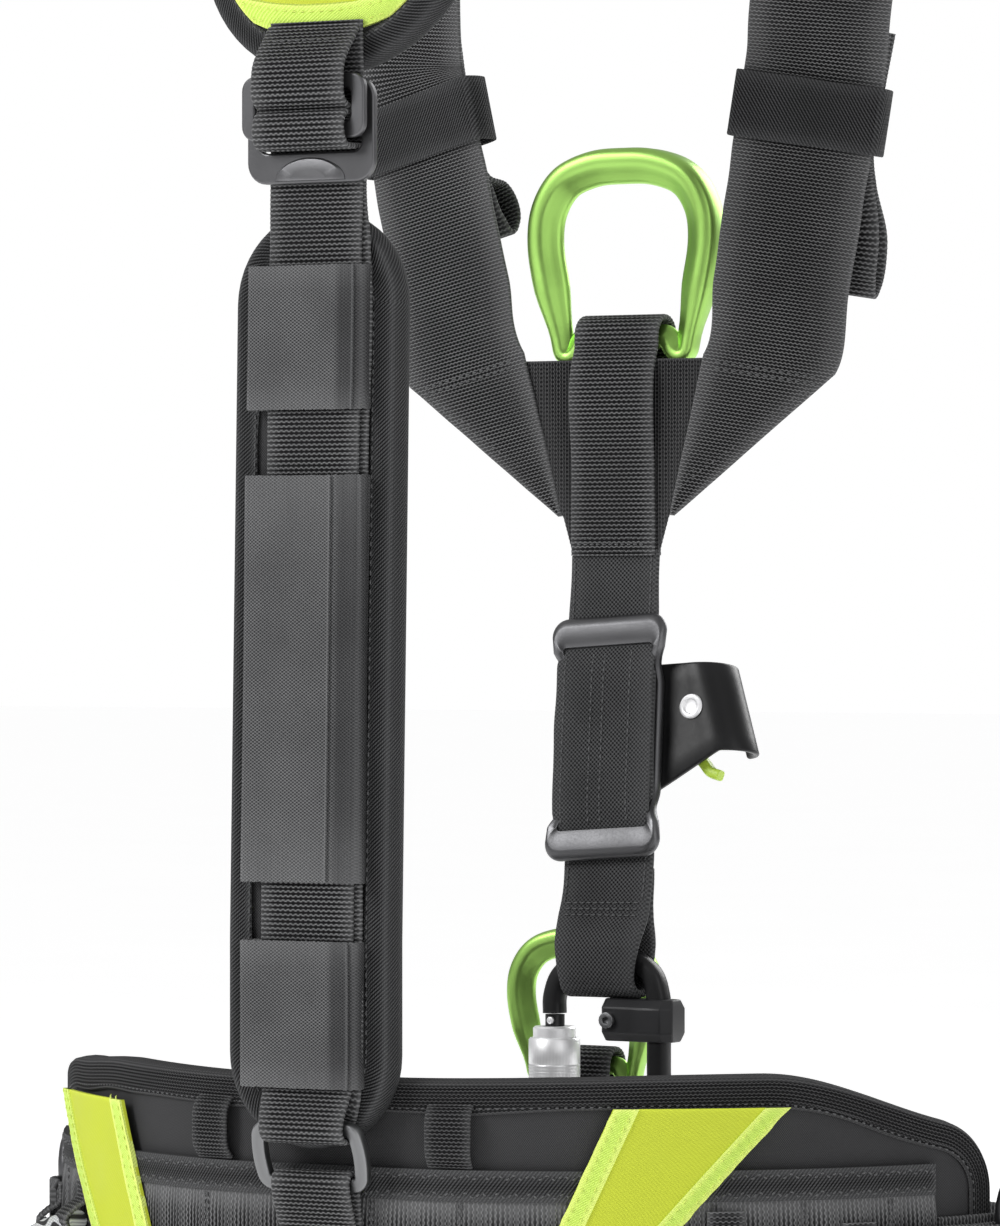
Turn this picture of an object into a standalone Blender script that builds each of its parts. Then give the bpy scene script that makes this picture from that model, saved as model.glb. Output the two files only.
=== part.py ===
"""Tree climbing saddle: a full-body arborist harness, as separate sub-parts.

Frame: +Z up, the wearer faces +Y, +X is the wearer's right. The origin is under the middle of the harness, at
the height of the leg loops' bottom. Sizes below are millimetres from the centre of the waist belt, which is at
BELT_CENTRE, and every object is written in metres.
"""

import math

import bmesh
import bpy
from mathutils import Vector

MM = 0.001
GAP = 0.4  # air between pieces that lie on each other

# ---- driving dimensions, millimetres ----
BELT_CENTRE = Vector((0, 1.4, 252.8))
WEBBING = 45.0  # width of the standard webbing
WEBBING_THICK = 2.4

# Waist belt. Its plan is one half outline, from the middle of the back forward.
BELT_PLAN = [(0, -125), (58, -122.5), (120, -96), (180, -47), (216, 5), (228, 36)]
FRONT_PLAN = [(231, 56), (219, 78), (186, 88), (120, 88), (50, 84), (0, 82)]
PAD_THICK = 14.0
PAD_TOP_MIDDLE = 82.0
PAD_TOP_END = 60.0
PAD_BOTTOM_MIDDLE = -80.0
PAD_BOTTOM_END = -42.0
PAD_CORNER = 26.0
BAND_TOP = 45.0
BAND_BOTTOM = -25.0
BAND_THICK = 3.0
PANEL_THICK = 2.0
TOOL_LOOP_X = 57.0
TOOL_LOOP_WIDTH = 20.0

# Back strap, from the belt up to the shoulder yoke
LINK_WIDTH = 53.0
LINK_BOTTOM = 35.5
LINK_TOP = 64.0
LINK_WIRE = 5.0
LINK_TOP_Y = -144.5
LINK_LOW_Y = -137.5
DORSAL_PAD_WIDTH = 76.0
DORSAL_PAD_THICK = 11.0
DORSAL_PAD_BOTTOM = 54.0
DORSAL_PAD_TOP = 445.0
WRAP_WIDTH = 58.0
WRAPS = {"wrap_upper": (362.0, 423.0), "wrap_middle": (164.0, 335.0), "wrap_lower": (78.0, 140.0)}
BUCKLE_FRAME_WIDTH = 62.0
BUCKLE_FRAME_Z = (457.0, 501.0)
BUCKLE_WINDOW_Z = (470.0, 495.0)
BUCKLE_WINDOW_WIDTH = 50.0
BUCKLE_SLIDE_WIDTH = 60.0
BUCKLE_SLIDE_Z = (475.0, 502.0)
SLIDE_WINDOW_Z = (482.0, 496.0)
SLIDE_WINDOW_WIDTH = 47.0
BUCKLE_THICK = 3.5

# Shoulder yoke and straps
YOKE_TOP = 640.0
YOKE_BOTTOM = 504.0
STRAP_WIDTH = 65.0
STRAP_THICK = 3.0
KEEPER_Z = 500.0
KEEPER_HEIGHT = 30.0

# Chest: rings, strap, ascender and carabiner
CHEST_Y = 122.0
STERNAL_RING_BAR = (0.0, 131.0, 402.0)
STERNAL_WIRE = 12.7
VENTRAL_RING_BAR = (-16.0, 122.0, 72.5)
VENTRAL_WIRE = 10.0
VENTRAL_SCALE = (0.80, 0.72)  # width and height, next to the sternal ring
RING_PLAY = 1.2  # air round a ring's bar in its webbing, so that the ring can swing
CHEST_STRAP_THICK = 4.0
ASCENDER_HEIGHT = 111.0
ASCENDER_WIDTH = 59.0
ASCENDER_MIDDLE_Z = 220.5
CARABINER_X = 11.0
CARABINER_Y = 92.0
CARABINER_WIRE = 10.0

# Leg loops
LEG_X = 112.0
LEG_Y = 5.0
LEG_RADIUS = 92.0
LEG_Z = -185.0
LEG_TILT = 0.35
LEG_PAD_HEIGHT = 70.0
LEG_PAD_THICK = 10.0


# ---- materials ----
def material(name, colour, roughness, metallic=0.0):
    found = bpy.data.materials.get(name)
    if found:
        return found
    made = bpy.data.materials.new(name)
    made.use_nodes = True
    shader = made.node_tree.nodes["Principled BSDF"]
    shader.inputs["Base Color"].default_value = (*colour, 1.0)
    shader.inputs["Roughness"].default_value = roughness
    shader.inputs["Metallic"].default_value = metallic
    made.diffuse_color = (*colour, 1.0)
    return made


def charcoal_webbing():
    return material("charcoal_webbing", (0.030, 0.031, 0.033), 0.8)


def black_fabric():
    return material("black_fabric", (0.018, 0.018, 0.020), 0.9)


def grey_wrap():
    return material("grey_wrap", (0.075, 0.076, 0.080), 0.95)


def neon_fabric():
    return material("neon_fabric", (0.62, 0.78, 0.04), 0.7)


def loop_fabric():
    return material("loop_fabric", (0.35, 0.36, 0.38), 0.85)


def satin_dark_metal():
    return material("satin_dark_metal", (0.06, 0.062, 0.066), 0.38, 1.0)


def black_metal():
    return material("black_metal", (0.012, 0.012, 0.014), 0.25, 0.6)


def green_metal():
    return material("green_metal", (0.26, 0.60, 0.08), 0.3, 1.0)


def silver_metal():
    return material("silver_metal", (0.75, 0.76, 0.78), 0.3, 1.0)


def black_plastic():
    return material("black_plastic", (0.02, 0.02, 0.022), 0.5)


def green_plastic():
    return material("green_plastic", (0.50, 0.72, 0.06), 0.45)


# ---- meshes ----
def clear_scene():
    for item in list(bpy.data.objects):
        bpy.data.objects.remove(item, do_unlink=True)


def link_object(name, mesh, look, origin=(0, 0, 0)):
    """Makes an object whose mesh and origin are given in millimetres from the centre of the belt."""
    shift = Vector(origin) * MM
    for vertex in mesh.vertices:
        vertex.co -= shift
    mesh.materials.append(look)
    item = bpy.data.objects.new(name, mesh)
    item.location = shift + BELT_CENTRE * MM
    bpy.context.scene.collection.objects.link(item)
    return item


def solid(name, vertices, faces, look, origin=(0, 0, 0)):
    mesh = bpy.data.meshes.new(name)
    mesh.from_pydata([Vector(v) * MM for v in vertices], [], faces)
    shape = bmesh.new()
    shape.from_mesh(mesh)
    bmesh.ops.recalc_face_normals(shape, faces=shape.faces)
    shape.to_mesh(mesh)
    shape.free()
    mesh.shade_smooth()
    mesh.set_sharp_from_angle(angle=math.radians(35))
    return link_object(name, mesh, look, origin)


def loft(name, rings, look, closed=False, origin=(0, 0, 0)):
    """Skins rings of points. The last ring joins the first when closed, or both ends are capped."""
    size = len(rings[0])
    vertices = [point for ring in rings for point in ring]
    faces = []
    spans = len(rings) if closed else len(rings) - 1
    for i in range(spans):
        a = i * size
        b = (i + 1) % len(rings) * size
        for k in range(size):
            n = (k + 1) % size
            faces.append((a + k, a + n, b + n, b + k))
    if not closed:
        faces.append(tuple(range(size)))
        faces.append(tuple(range((len(rings) - 1) * size, len(rings) * size)))
    return solid(name, vertices, faces, look, origin)


def curve_through(points, steps=6, closed=False):
    """A Catmull-Rom curve through the points, as a list of vectors."""
    knots = [Vector(p) for p in points]
    count = len(knots)
    line = []
    for i in range(count if closed else count - 1):
        if closed:
            a, b, c, d = (knots[(i + k) % count] for k in (-1, 0, 1, 2))
        else:
            b, c = knots[i], knots[i + 1]
            a = knots[i - 1] if i > 0 else b * 2 - c
            d = knots[i + 2] if i + 2 < count else c * 2 - b
        for k in range(steps):
            t = k / steps
            line.append(
                b
                + (c - a) * (t / 2)
                + (a * 2 - b * 5 + c * 4 - d) * (t * t / 2)
                + (b * 3 - a - c * 3 + d) * (t * t * t / 2)
            )
    if not closed:
        line.append(knots[-1].copy())
    return line


def tangents(line, closed=False):
    last = len(line) - 1
    result = []
    for i in range(len(line)):
        before = line[i - 1] if (i > 0 or closed) else line[i]
        after = line[(i + 1) % len(line)] if (i < last or closed) else line[i]
        result.append((after - before).normalized())
    return result


def ribbon(name, line, across, width, thick, look, closed=False, origin=(0, 0, 0)):
    """Flat webbing along a line. across and width are one value, or one value for each point."""
    line = [Vector(p) for p in line]
    ways = across if isinstance(across, list) else [across] * len(line)
    widths = width if isinstance(width, list) else [width] * len(line)
    rings = []
    for point, along, way, wide in zip(line, tangents(line, closed), ways, widths):
        side = Vector(way)
        side = (side - along * side.dot(along)).normalized()
        up = along.cross(side)
        s = side * (wide / 2)
        u = up * (thick / 2)
        rings.append([point + s + u, point - s + u, point - s - u, point + s - u])
    return loft(name, rings, look, closed, origin)


def bar_section(width, height, corner, steps=2):
    """A rounded rectangle as (x, y) pairs, anticlockwise."""
    section = []
    centres = [(1, 1, 0), (-1, 1, 90), (-1, -1, 180), (1, -1, 270)]
    for sx, sy, start in centres:
        for k in range(steps + 1):
            angle = math.radians(start + 90 * k / steps)
            x = sx * (width / 2 - corner) + corner * math.cos(angle)
            y = sy * (height / 2 - corner) + corner * math.sin(angle)
            section.append((x, y))
    return section


def sweep(name, line, section, normal, look, closed=False, origin=(0, 0, 0)):
    """Sweeps a section along a plane line. Its first axis lies in the plane, its second along the normal."""
    line = [Vector(p) for p in line]
    up = Vector(normal).normalized()
    rings = []
    for point, along in zip(line, tangents(line, closed)):
        out = along.cross(up).normalized()
        rings.append([point + out * x + up * y for x, y in section])
    return loft(name, rings, look, closed, origin)


def arc(centre, radius, start, end, steps):
    """Points (a, b) on an arc, angles in degrees."""
    points = []
    for k in range(steps + 1):
        angle = math.radians(start + (end - start) * k / steps)
        points.append((centre[0] + radius * math.cos(angle), centre[1] + radius * math.sin(angle)))
    return points


def cylinder(name, centre, axis, radius, length, look, segments=16, bore=0.0, origin=(0, 0, 0)):
    """A rod or a tube about an axis through its centre."""
    centre = Vector(centre)
    way = Vector(axis).normalized()
    side = way.orthogonal().normalized()
    other = way.cross(side)

    def ring(r, at):
        turns = [2 * math.pi * k / segments for k in range(segments)]
        return [centre + way * at + side * (r * math.cos(t)) + other * (r * math.sin(t)) for t in turns]

    half = length / 2
    if bore:
        rings = [ring(radius, -half), ring(radius, half), ring(bore, half), ring(bore, -half)]
        return loft(name, rings, look, True, origin)
    return loft(name, [ring(radius, -half), ring(radius, half)], look, False, origin)


def boolean(item, cutter, operation):
    """Joins a tool object to an item, or cuts it out, and applies the result."""
    change = item.modifiers.new(operation.lower(), "BOOLEAN")
    change.object = cutter
    change.operation = operation
    change.solver = "EXACT"
    bpy.context.view_layer.update()
    shaped = bpy.data.meshes.new_from_object(item.evaluated_get(bpy.context.evaluated_depsgraph_get()))
    item.modifiers.clear()
    item.data = shaped
    bpy.data.objects.remove(cutter, do_unlink=True)


# ---- waist belt ----
def belt_loop():
    """The belt's closed plan, starting at the front middle and running round the wearer's left and back."""
    half = BELT_PLAN + FRONT_PLAN
    left = [(-x, y, 0) for x, y in reversed(half[1:])]
    right = [(x, y, 0) for x, y in half[:-1]]
    return curve_through(left + right, steps=8, closed=True)


BELT_LINE = belt_loop()
BELT_STEPS = [(BELT_LINE[(i + 1) % len(BELT_LINE)] - p).length for i, p in enumerate(BELT_LINE)]
BELT_LENGTH = sum(BELT_STEPS)
BELT_MIDDLE = BELT_LENGTH / 2


def belt_point(s, z, off):
    """A point at arc length s from the middle of the back, standing off outwards from the pad's outer face."""
    left = (s + BELT_MIDDLE) % BELT_LENGTH
    i = 0
    while left > BELT_STEPS[i] and i < len(BELT_STEPS) - 1:
        left -= BELT_STEPS[i]
        i += 1
    a = BELT_LINE[i]
    b = BELT_LINE[(i + 1) % len(BELT_LINE)]
    before = (a - BELT_LINE[i - 1]).normalized()
    here = (b - a).normalized()
    after = (BELT_LINE[(i + 2) % len(BELT_LINE)] - b).normalized()
    t = left / BELT_STEPS[i]
    along = ((before + here) * (1 - t) + (here + after) * t).normalized()
    out = Vector((along.y, -along.x, 0))
    return a.lerp(b, t) + out * off + Vector((0, 0, z))


def belt_along(s):
    return (belt_point(s + 1, 0, 0) - belt_point(s - 1, 0, 0)).normalized()


def belt_length_at(x_wanted):
    """The arc length where the belt's right half reaches an X on its back."""
    s = 0.0
    while belt_point(s, 0, 0).x < x_wanted:
        s += 0.5
    return s


PAD_END = belt_length_at(BELT_PLAN[-1][0])


def ease(t):
    t = min(1.0, max(0.0, t))
    return t * t * (3 - 2 * t)


def pad_edges(s):
    """The lumbar pad's bottom and top at an arc length, with a rounded corner at each end."""
    far = ease((abs(s) - 190) / (PAD_END - 190))
    top = PAD_TOP_MIDDLE + 2.5 * ease(abs(s) / 190) + (PAD_TOP_END - PAD_TOP_MIDDLE - 2.5) * far
    bottom = PAD_BOTTOM_MIDDLE + (PAD_BOTTOM_END - PAD_BOTTOM_MIDDLE) * ease((abs(s) - 90) / (PAD_END - 90))
    past = max(0.0, abs(s) - (PAD_END - PAD_CORNER))
    inset = PAD_CORNER - math.sqrt(max(0.0, PAD_CORNER**2 - past**2))
    return bottom + inset, top - inset


def span(start, end, step):
    count = max(1, math.ceil(abs(end - start) / step))
    return [start + (end - start) * k / count for k in range(count + 1)]


def belt_strip(name, s_range, z_range, off_range, look, step=12.0, origin=(0, 0, 0)):
    """A flat strip that follows the belt."""
    rings = []
    for s in span(*s_range, step):
        low, high = z_range(s) if callable(z_range) else z_range
        corners = [(low, off_range[0]), (high, off_range[0]), (high, off_range[1]), (low, off_range[1])]
        rings.append([belt_point(s, z, off) for z, off in corners])
    return loft(name, rings, look, False, origin)


def lumbar_pad():
    rings = []
    ends = [PAD_END - d for d in (0.0, 1.5, 6.0, 14.0, PAD_CORNER)]
    straight = PAD_END - PAD_CORNER - 12.0
    stations = sorted([-s for s in ends] + span(-straight, straight, 12.0) + ends)
    for s in stations:
        low, high = pad_edges(s)
        section = bar_section(PAD_THICK, high - low, PAD_THICK / 3)
        rings.append([belt_point(s, (low + high) / 2 + z, x - PAD_THICK / 2) for x, z in section])
    loft("lumbar_pad", rings, black_fabric())


BAND_END = 268.0
BAND_OUT = GAP + BAND_THICK
LAYER_IN = BAND_OUT + GAP  # inner face of whatever lies on the band


def belt_band():
    belt_strip("belt_band", (-BAND_END, BAND_END), (BAND_BOTTOM, BAND_TOP), (GAP, BAND_OUT), black_fabric())


def panel_edge(z, top, middle, bottom):
    """Arc length of a neon panel's edge: a parabola through its values at three heights."""
    heights = (70.0, 21.6, -60.0)
    values = (top, middle, bottom)
    total = 0.0
    for i in range(3):
        part = values[i]
        for j in range(3):
            if j != i:
                part *= (z - heights[j]) / (heights[i] - heights[j])
        total += part
    return total


def neon_panel(name, side):
    rings = []
    for z in span(-62.0, 71.0, 12.0):
        inner = panel_edge(z, 125, 103, 66)
        outer = panel_edge(z, 203, 160, 87)
        places = span(inner, outer, (outer - inner) / 5.0)
        front = [belt_point(side * s, z, LAYER_IN + PANEL_THICK) for s in places]
        back = [belt_point(side * s, z, LAYER_IN) for s in reversed(places)]
        rings.append(front + back)
    loft(name, rings, neon_fabric())


def tool_loop(name, side):
    """A small webbing bridge on the belt's upper panel."""
    s = side * belt_length_at(TOOL_LOOP_X)
    shape = [(1.6, 70), (5.0, 67), (6.6, 59), (5.4, 51), (1.6, 47.2)]
    line = [belt_point(s, z, off) for off, z in shape]
    ribbon(name, line, belt_along(s), TOOL_LOOP_WIDTH, 2.0, charcoal_webbing())


def gear_loop(name, side):
    """A stiff tubular loop that stands off the belt's wing."""
    shape = [
        (158, 8.6, 11),
        (169, 11, 10),
        (180, 25, 2),
        (191, 33, -18),
        (207, 36, -34),
        (221, 31, -24),
        (228, 19, -6),
        (230, 8.6, 4),
    ]
    line = curve_through([belt_point(side * s, z, off) for s, off, z in shape], steps=3)
    rings = []
    for point, along in zip(line, tangents(line)):
        out = along.cross((0, 0, 1)).normalized()
        up = out.cross(along)
        turns = [2 * math.pi * k / 8 for k in range(8)]
        rings.append([point + out * (4.5 * math.cos(t)) + up * (4.5 * math.sin(t)) for t in turns])
    loft(name, rings, loop_fabric())


HIP_BAR_S = 300.0
HIP_BAR_OFF = 10.5
HIP_BAR_WIRE = 8.0


def hip_bar_point(side):
    return belt_point(side * HIP_BAR_S, 0, HIP_BAR_OFF)


def hip_tab(name, side):
    """Webbing folded round the hip ring's bar and sewn on the belt's wing."""
    inner = LAYER_IN + WEBBING_THICK / 2
    outer = inner + WEBBING_THICK + GAP
    turn = HIP_BAR_WIRE / 2 + GAP + WEBBING_THICK / 2 + 0.6
    shape = [(238, inner), (262, inner), (284, inner)]
    for a, b in arc((HIP_BAR_S, HIP_BAR_OFF), turn, -105, 105, 8):
        shape.append((a, b))
    shape += [(284, outer + 2.0), (262, outer), (238, outer)]
    line = [belt_point(side * s, 0, off) for s, off in shape]
    ribbon(name, line, (0, 0, 1), 38.0, WEBBING_THICK, charcoal_webbing())


def hip_ring(name, side):
    """A D ring: its straight bar is upright in the tab and its bow points forward."""
    centre = hip_bar_point(side)
    forward = belt_along(side * HIP_BAR_S) * side
    shape = [(0, -27), (0, -9), (0, 9), (0, 27), (3.5, 34.0), (11, 37.0)]
    shape += arc((18, 0), 36.0, 70, -70, 8)
    shape += [(11, -37.0), (3.5, -34.0)]
    line = [centre + forward * a + Vector((0, 0, b)) for a, b in shape]
    normal = forward.cross(Vector((0, 0, 1)))
    section = bar_section(HIP_BAR_WIRE, HIP_BAR_WIRE, 2.6, 1)
    sweep(name, line, section, normal, satin_dark_metal(), True, centre)


def belt():
    lumbar_pad()
    belt_band()
    for name, side in (("left", -1), ("right", 1)):
        neon_panel(f"neon_panel_{name}", side)
        tool_loop(f"tool_loop_{name}", side)
        gear_loop(f"gear_loop_{name}", side)
        hip_tab(f"hip_tab_{name}", side)
        hip_ring(f"hip_ring_{name}", side)


# ---- buckles: a frame, and a slide in front of it ----
def buckle_outline(width, low, high, corner, steps=3):
    middle = (low + high) / 2
    return [(x, z + middle) for x, z in bar_section(width, high - low, corner, steps)]


class Place:
    """Local axes of a buckle: across the webbing, out of the body, and along the webbing."""

    def __init__(self, centre, across, out, along):
        self.centre = Vector(centre)
        self.across = Vector(across).normalized()
        self.out = Vector(out).normalized()
        self.along = Vector(along).normalized()

    def at(self, a, b, c):
        return self.centre + self.across * a + self.out * b + self.along * c


def placed_plate(name, place, outer, window, b_range, look, origin):
    front = [place.at(a, b_range[1], c) for a, c in outer]
    back = [place.at(a, b_range[0], c) for a, c in outer]
    inner_back = [place.at(a, b_range[0], c) for a, c in window]
    inner_front = [place.at(a, b_range[1], c) for a, c in window]
    return loft(name, [front, back, inner_back, inner_front], look, True, origin)


FRAME_MIDDLE = 479.0
SLIDE_OUT = 6.4
SLIDE_BAR_C = -0.5


def buckle_frame(name, place):
    half = BUCKLE_THICK / 2
    outer = buckle_outline(BUCKLE_FRAME_WIDTH, *(z - FRAME_MIDDLE for z in BUCKLE_FRAME_Z), 9.0)
    window = buckle_outline(BUCKLE_WINDOW_WIDTH, *(z - FRAME_MIDDLE for z in BUCKLE_WINDOW_Z), 4.0)
    placed_plate(name, place, outer, window, (-half, half), satin_dark_metal(), (0, 0, 0))


def buckle_slide(name, place):
    half = BUCKLE_THICK / 2
    outer = buckle_outline(BUCKLE_SLIDE_WIDTH, *(z - FRAME_MIDDLE for z in BUCKLE_SLIDE_Z), 6.0)
    window = buckle_outline(SLIDE_WINDOW_WIDTH, *(z - FRAME_MIDDLE for z in SLIDE_WINDOW_Z), 3.0)
    depth = (SLIDE_OUT - half, SLIDE_OUT + half)
    placed_plate(name, place, outer, window, depth, satin_dark_metal(), place.at(0, SLIDE_OUT, SLIDE_BAR_C))


def fold_round_top_bars():
    """Path (out, along) of webbing that comes from above, folds under both top bars and goes back up."""
    return [
        (-3.6, 46.0),
        (-3.6, 20.0),
        (-3.1, 14.0),
        (0.6, 12.0),
        (7.0, 12.0),
        (11.2, 14.8),
        (12.2, 20.0),
        (11.4, 27.0),
        (7.4, 34.0),
        (2.6, 40.0),
        (-0.6, 46.0),
    ]


def roll_round_slide_bar():
    """Path (out, along) of webbing that comes up behind, rolls over the slide's lower bar and returns."""
    return [
        (-6.2, -24.0),
        (-6.2, -8.0),
        (-4.4, 0.0),
        (-0.4, 4.6),
        (4.6, 6.8),
        (8.6, 6.6),
        (11.2, 3.4),
        (11.2, -2.6),
        (8.8, -6.4),
        (4.0, -7.0),
        (0.0, -7.0),
        (-3.0, -7.0),
        (-3.7, -9.6),
        (-3.5, -13.0),
        (-3.4, -24.0),
    ]


# ---- back strap ----
def lean(z):
    """How far the back strap comes towards the wearer, as it rises."""
    return 7.5 * max(0.0, z - 140) / 317


PAD_FACE_Y = -138.0  # outer face of the back pad, low down
LAYER_ONE_Y = -141.4
LAYER_TWO_Y = -144.2
BUCKLE_Y = -140.1


def dorsal_link():
    top = Vector((0, LINK_TOP_Y, LINK_TOP - LINK_WIRE / 2))
    low = Vector((0, LINK_LOW_Y, LINK_BOTTOM + LINK_WIRE / 2))
    up = (top - low).normalized()
    middle = (top + low) / 2
    outline = bar_section(LINK_WIDTH - LINK_WIRE, (top - low).length, 6.0, 3)
    line = [middle + Vector((x, 0, 0)) + up * z for x, z in outline]
    normal = Vector((1, 0, 0)).cross(up)
    sweep("dorsal_link", line, bar_section(LINK_WIRE, LINK_WIRE, 1.6, 1), normal, satin_dark_metal(), True)


def dorsal_anchor():
    """A loop round the link's lower bar, sewn down the middle of the belt."""
    bar = (LINK_LOW_Y, LINK_BOTTOM + LINK_WIRE / 2)
    turn = LINK_WIRE / 2 + GAP + WEBBING_THICK / 2 + 0.4
    belt_face = BELT_PLAN[0][1] - LAYER_IN
    inner = belt_face - WEBBING_THICK / 2
    outer = inner - WEBBING_THICK - GAP
    shape = [(inner, -58), (inner, -20), (inner, 14), (inner - 1.5, 22)]
    shape += arc(bar, turn, -20, 200, 8)
    shape += [(outer - 3.4, 21), (outer, 12), (outer, -20), (outer, -58)]
    line = [(0, y, z) for y, z in shape]
    ribbon("dorsal_anchor", line, (1, 0, 0), 38.0, WEBBING_THICK, charcoal_webbing())


def dorsal_webbing():
    """Two layers that fold round the link below and roll round the buckle's slide above."""
    turn = LINK_WIRE / 2 + GAP + WEBBING_THICK / 2 + 1.1
    heights = [430, 330, 230, 140, 78]
    first = [(LAYER_ONE_Y + lean(z), z) for z in heights]
    fold = arc((LINK_TOP_Y, LINK_TOP - LINK_WIRE / 2), turn, 20, -200, 8)
    second = [(LAYER_TWO_Y + lean(z), z) for z in reversed(heights)]
    line = [Vector((0, y, z)) for y, z in first + fold + second]
    line += [dorsal_place().at(0, b, c) for b, c in reversed(roll_round_slide_bar())]
    widths = [WEBBING - 4.0 * (1 - ease((point.z - 66) / 20)) for point in line]
    ribbon("dorsal_webbing", line, (1, 0, 0), widths, WEBBING_THICK, charcoal_webbing(), True)


def dorsal_place():
    return Place((0, BUCKLE_Y, FRAME_MIDDLE), (1, 0, 0), (0, -1, 0), (0, 0, 1))


def pad_outline(width, low, high, steps=8):
    """A slot outline in X and Z: two straight sides and two round ends."""
    r = width / 2
    return arc((0, high - r), r, 0, 180, steps) + arc((0, low + r), r, 180, 360, steps)


def dorsal_pad():
    rings = []
    face = PAD_FACE_Y + DORSAL_PAD_THICK / 2
    for depth, inset in ((-1.0, 3.0), (-0.55, 0.0), (0.55, 0.0), (1.0, 3.0)):
        width = DORSAL_PAD_WIDTH - 2 * inset
        outline = pad_outline(width, DORSAL_PAD_BOTTOM + inset, DORSAL_PAD_TOP - inset)
        shift = depth * DORSAL_PAD_THICK / 2
        rings.append([(x, face + shift + lean(z), z) for x, z in outline])
    loft("dorsal_pad", rings, black_fabric())


def wrap(name, low, high):
    """A hook-and-loop sleeve round both webbing layers."""
    outer_y = (LAYER_TWO_Y - WEBBING_THICK / 2 - 2.0, PAD_FACE_Y - GAP)
    inner_y = (LAYER_TWO_Y - WEBBING_THICK / 2 - GAP, PAD_FACE_Y - GAP - 1.2)

    def ring(half, y_range, z):
        corners = [(-half, y_range[0]), (half, y_range[0]), (half, y_range[1]), (-half, y_range[1])]
        return [(x, y + lean(z), z) for x, y in corners]

    half = WRAP_WIDTH / 2
    inner_half = half - 1.8
    rings = [
        ring(half, outer_y, low),
        ring(half, outer_y, high),
        ring(inner_half, inner_y, high),
        ring(inner_half, inner_y, low),
    ]
    loft(name, rings, grey_wrap(), True)


def yoke_webbing():
    line = [dorsal_place().at(0, b, c) for b, c in fold_round_top_bars()]
    ribbon("yoke_webbing", line, (1, 0, 0), WEBBING, WEBBING_THICK, charcoal_webbing())


def yoke_half(z):
    """Half width of the yoke pad at a height: a round bottom that opens into the shoulders."""
    if z < 569:
        return math.sqrt(max(9.0, 65.0**2 - (z - 569) ** 2))
    grown = 65 + 20 * ease((z - 569) / 46)
    return grown - 14 * ease((z - 618) / 22)


def yoke_face(x, z):
    """Y of the yoke pad's outer face, which follows the wearer's back."""
    return -134 + 14 * ((z - YOKE_BOTTOM) / 136) ** 2 + 0.0022 * x * x


def yoke_sheet(name, z_range, inset, depth, look):
    rings = []
    for z in span(*z_range, 9.0):
        half = yoke_half(z) - inset
        places = span(-half, half, half / 5.0)
        outside = [(x, yoke_face(x, z) + depth[0], z) for x in places]
        inside = [(x, yoke_face(x, z) + depth[1], z) for x in reversed(places)]
        rings.append(outside + inside)
    loft(name, rings, look)


def back_strap():
    dorsal_link()
    dorsal_anchor()
    dorsal_webbing()
    dorsal_pad()
    for name, (low, high) in WRAPS.items():
        wrap(name, low, high)
    buckle_frame("dorsal_buckle_frame", dorsal_place())
    buckle_slide("dorsal_buckle_slide", dorsal_place())
    yoke_webbing()
    yoke_sheet("yoke_pad", (YOKE_BOTTOM + 1, YOKE_TOP), 0.0, (0.0, 10.0), black_fabric())
    yoke_sheet("yoke_panel", (527.0, 625.0), 11.0, (-GAP - 2.0, -GAP), neon_fabric())


# ---- shoulder straps ----
STRAP_LOW = Vector((78, CHEST_Y, 388))
STRAP_HIGH = Vector((100, CHEST_Y + 4, 527))
STRAP_TIP = Vector((28.7, CHEST_Y, 321))


def strap_across(z):
    """Direction from a strap's inner edge to its outer edge, which turns forward as the strap rises."""
    return Vector((1, 0.09 + 0.11 * (z - STRAP_LOW.z) / (STRAP_HIGH.z - STRAP_LOW.z), 0)).normalized()


def strap_line():
    """Centre line and edge directions of the right strap, from the chest over the shoulder to the yoke."""
    straight = [STRAP_LOW.lerp(STRAP_HIGH, t) for t in (0, 0.25, 0.5, 0.75)]
    knots = [STRAP_HIGH, (107, 118, 588), (110, 76, 638), (107, 15, 664), (102, -45, 655)]
    knots += [(89, -84, 631), (70, -97, 600)]
    ways = [strap_across(STRAP_HIGH.z), (1, 0.42, -0.1), (1, 0.4, -0.25), (1, 0.1, -0.35), (1, -0.05, -0.3)]
    ways += [(1, 0.05, -0.5), (0.85, 0.15, -0.55)]
    curve = curve_through(knots, steps=5)
    turns = curve_through(ways, steps=5)
    return straight + curve, [strap_across(p.z) for p in straight] + turns


def flip(point, side):
    return Vector((point[0] * side, point[1], point[2]))


def edge_strip(name, inner, outer, thick, look):
    """Flat webbing between two edge lines."""
    middle = [(a + b) / 2 for a, b in zip(inner, outer)]
    rings = []
    for a, b, along in zip(inner, outer, tangents(middle)):
        up = along.cross(b - a).normalized() * (thick / 2)
        rings.append([a + up, b + up, b - up, a - up])
    loft(name, rings, look)


def shoulder_strap(name, side):
    line, ways = strap_line()
    inner = [STRAP_TIP - Vector((1.2, 0, 0))]
    outer = [STRAP_TIP + Vector((1.2, 0, 0.8))]
    for point, along, way in zip(line, tangents(line), ways):
        across = Vector(way)
        across = (across - along * across.dot(along)).normalized()
        inner.append(point - across * (STRAP_WIDTH / 2))
        outer.append(point + across * (STRAP_WIDTH / 2))
    inner = [flip(p, side) for p in inner]
    outer = [flip(p, side) for p in outer]
    edge_strip(name, inner, outer, STRAP_THICK, charcoal_webbing())


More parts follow.
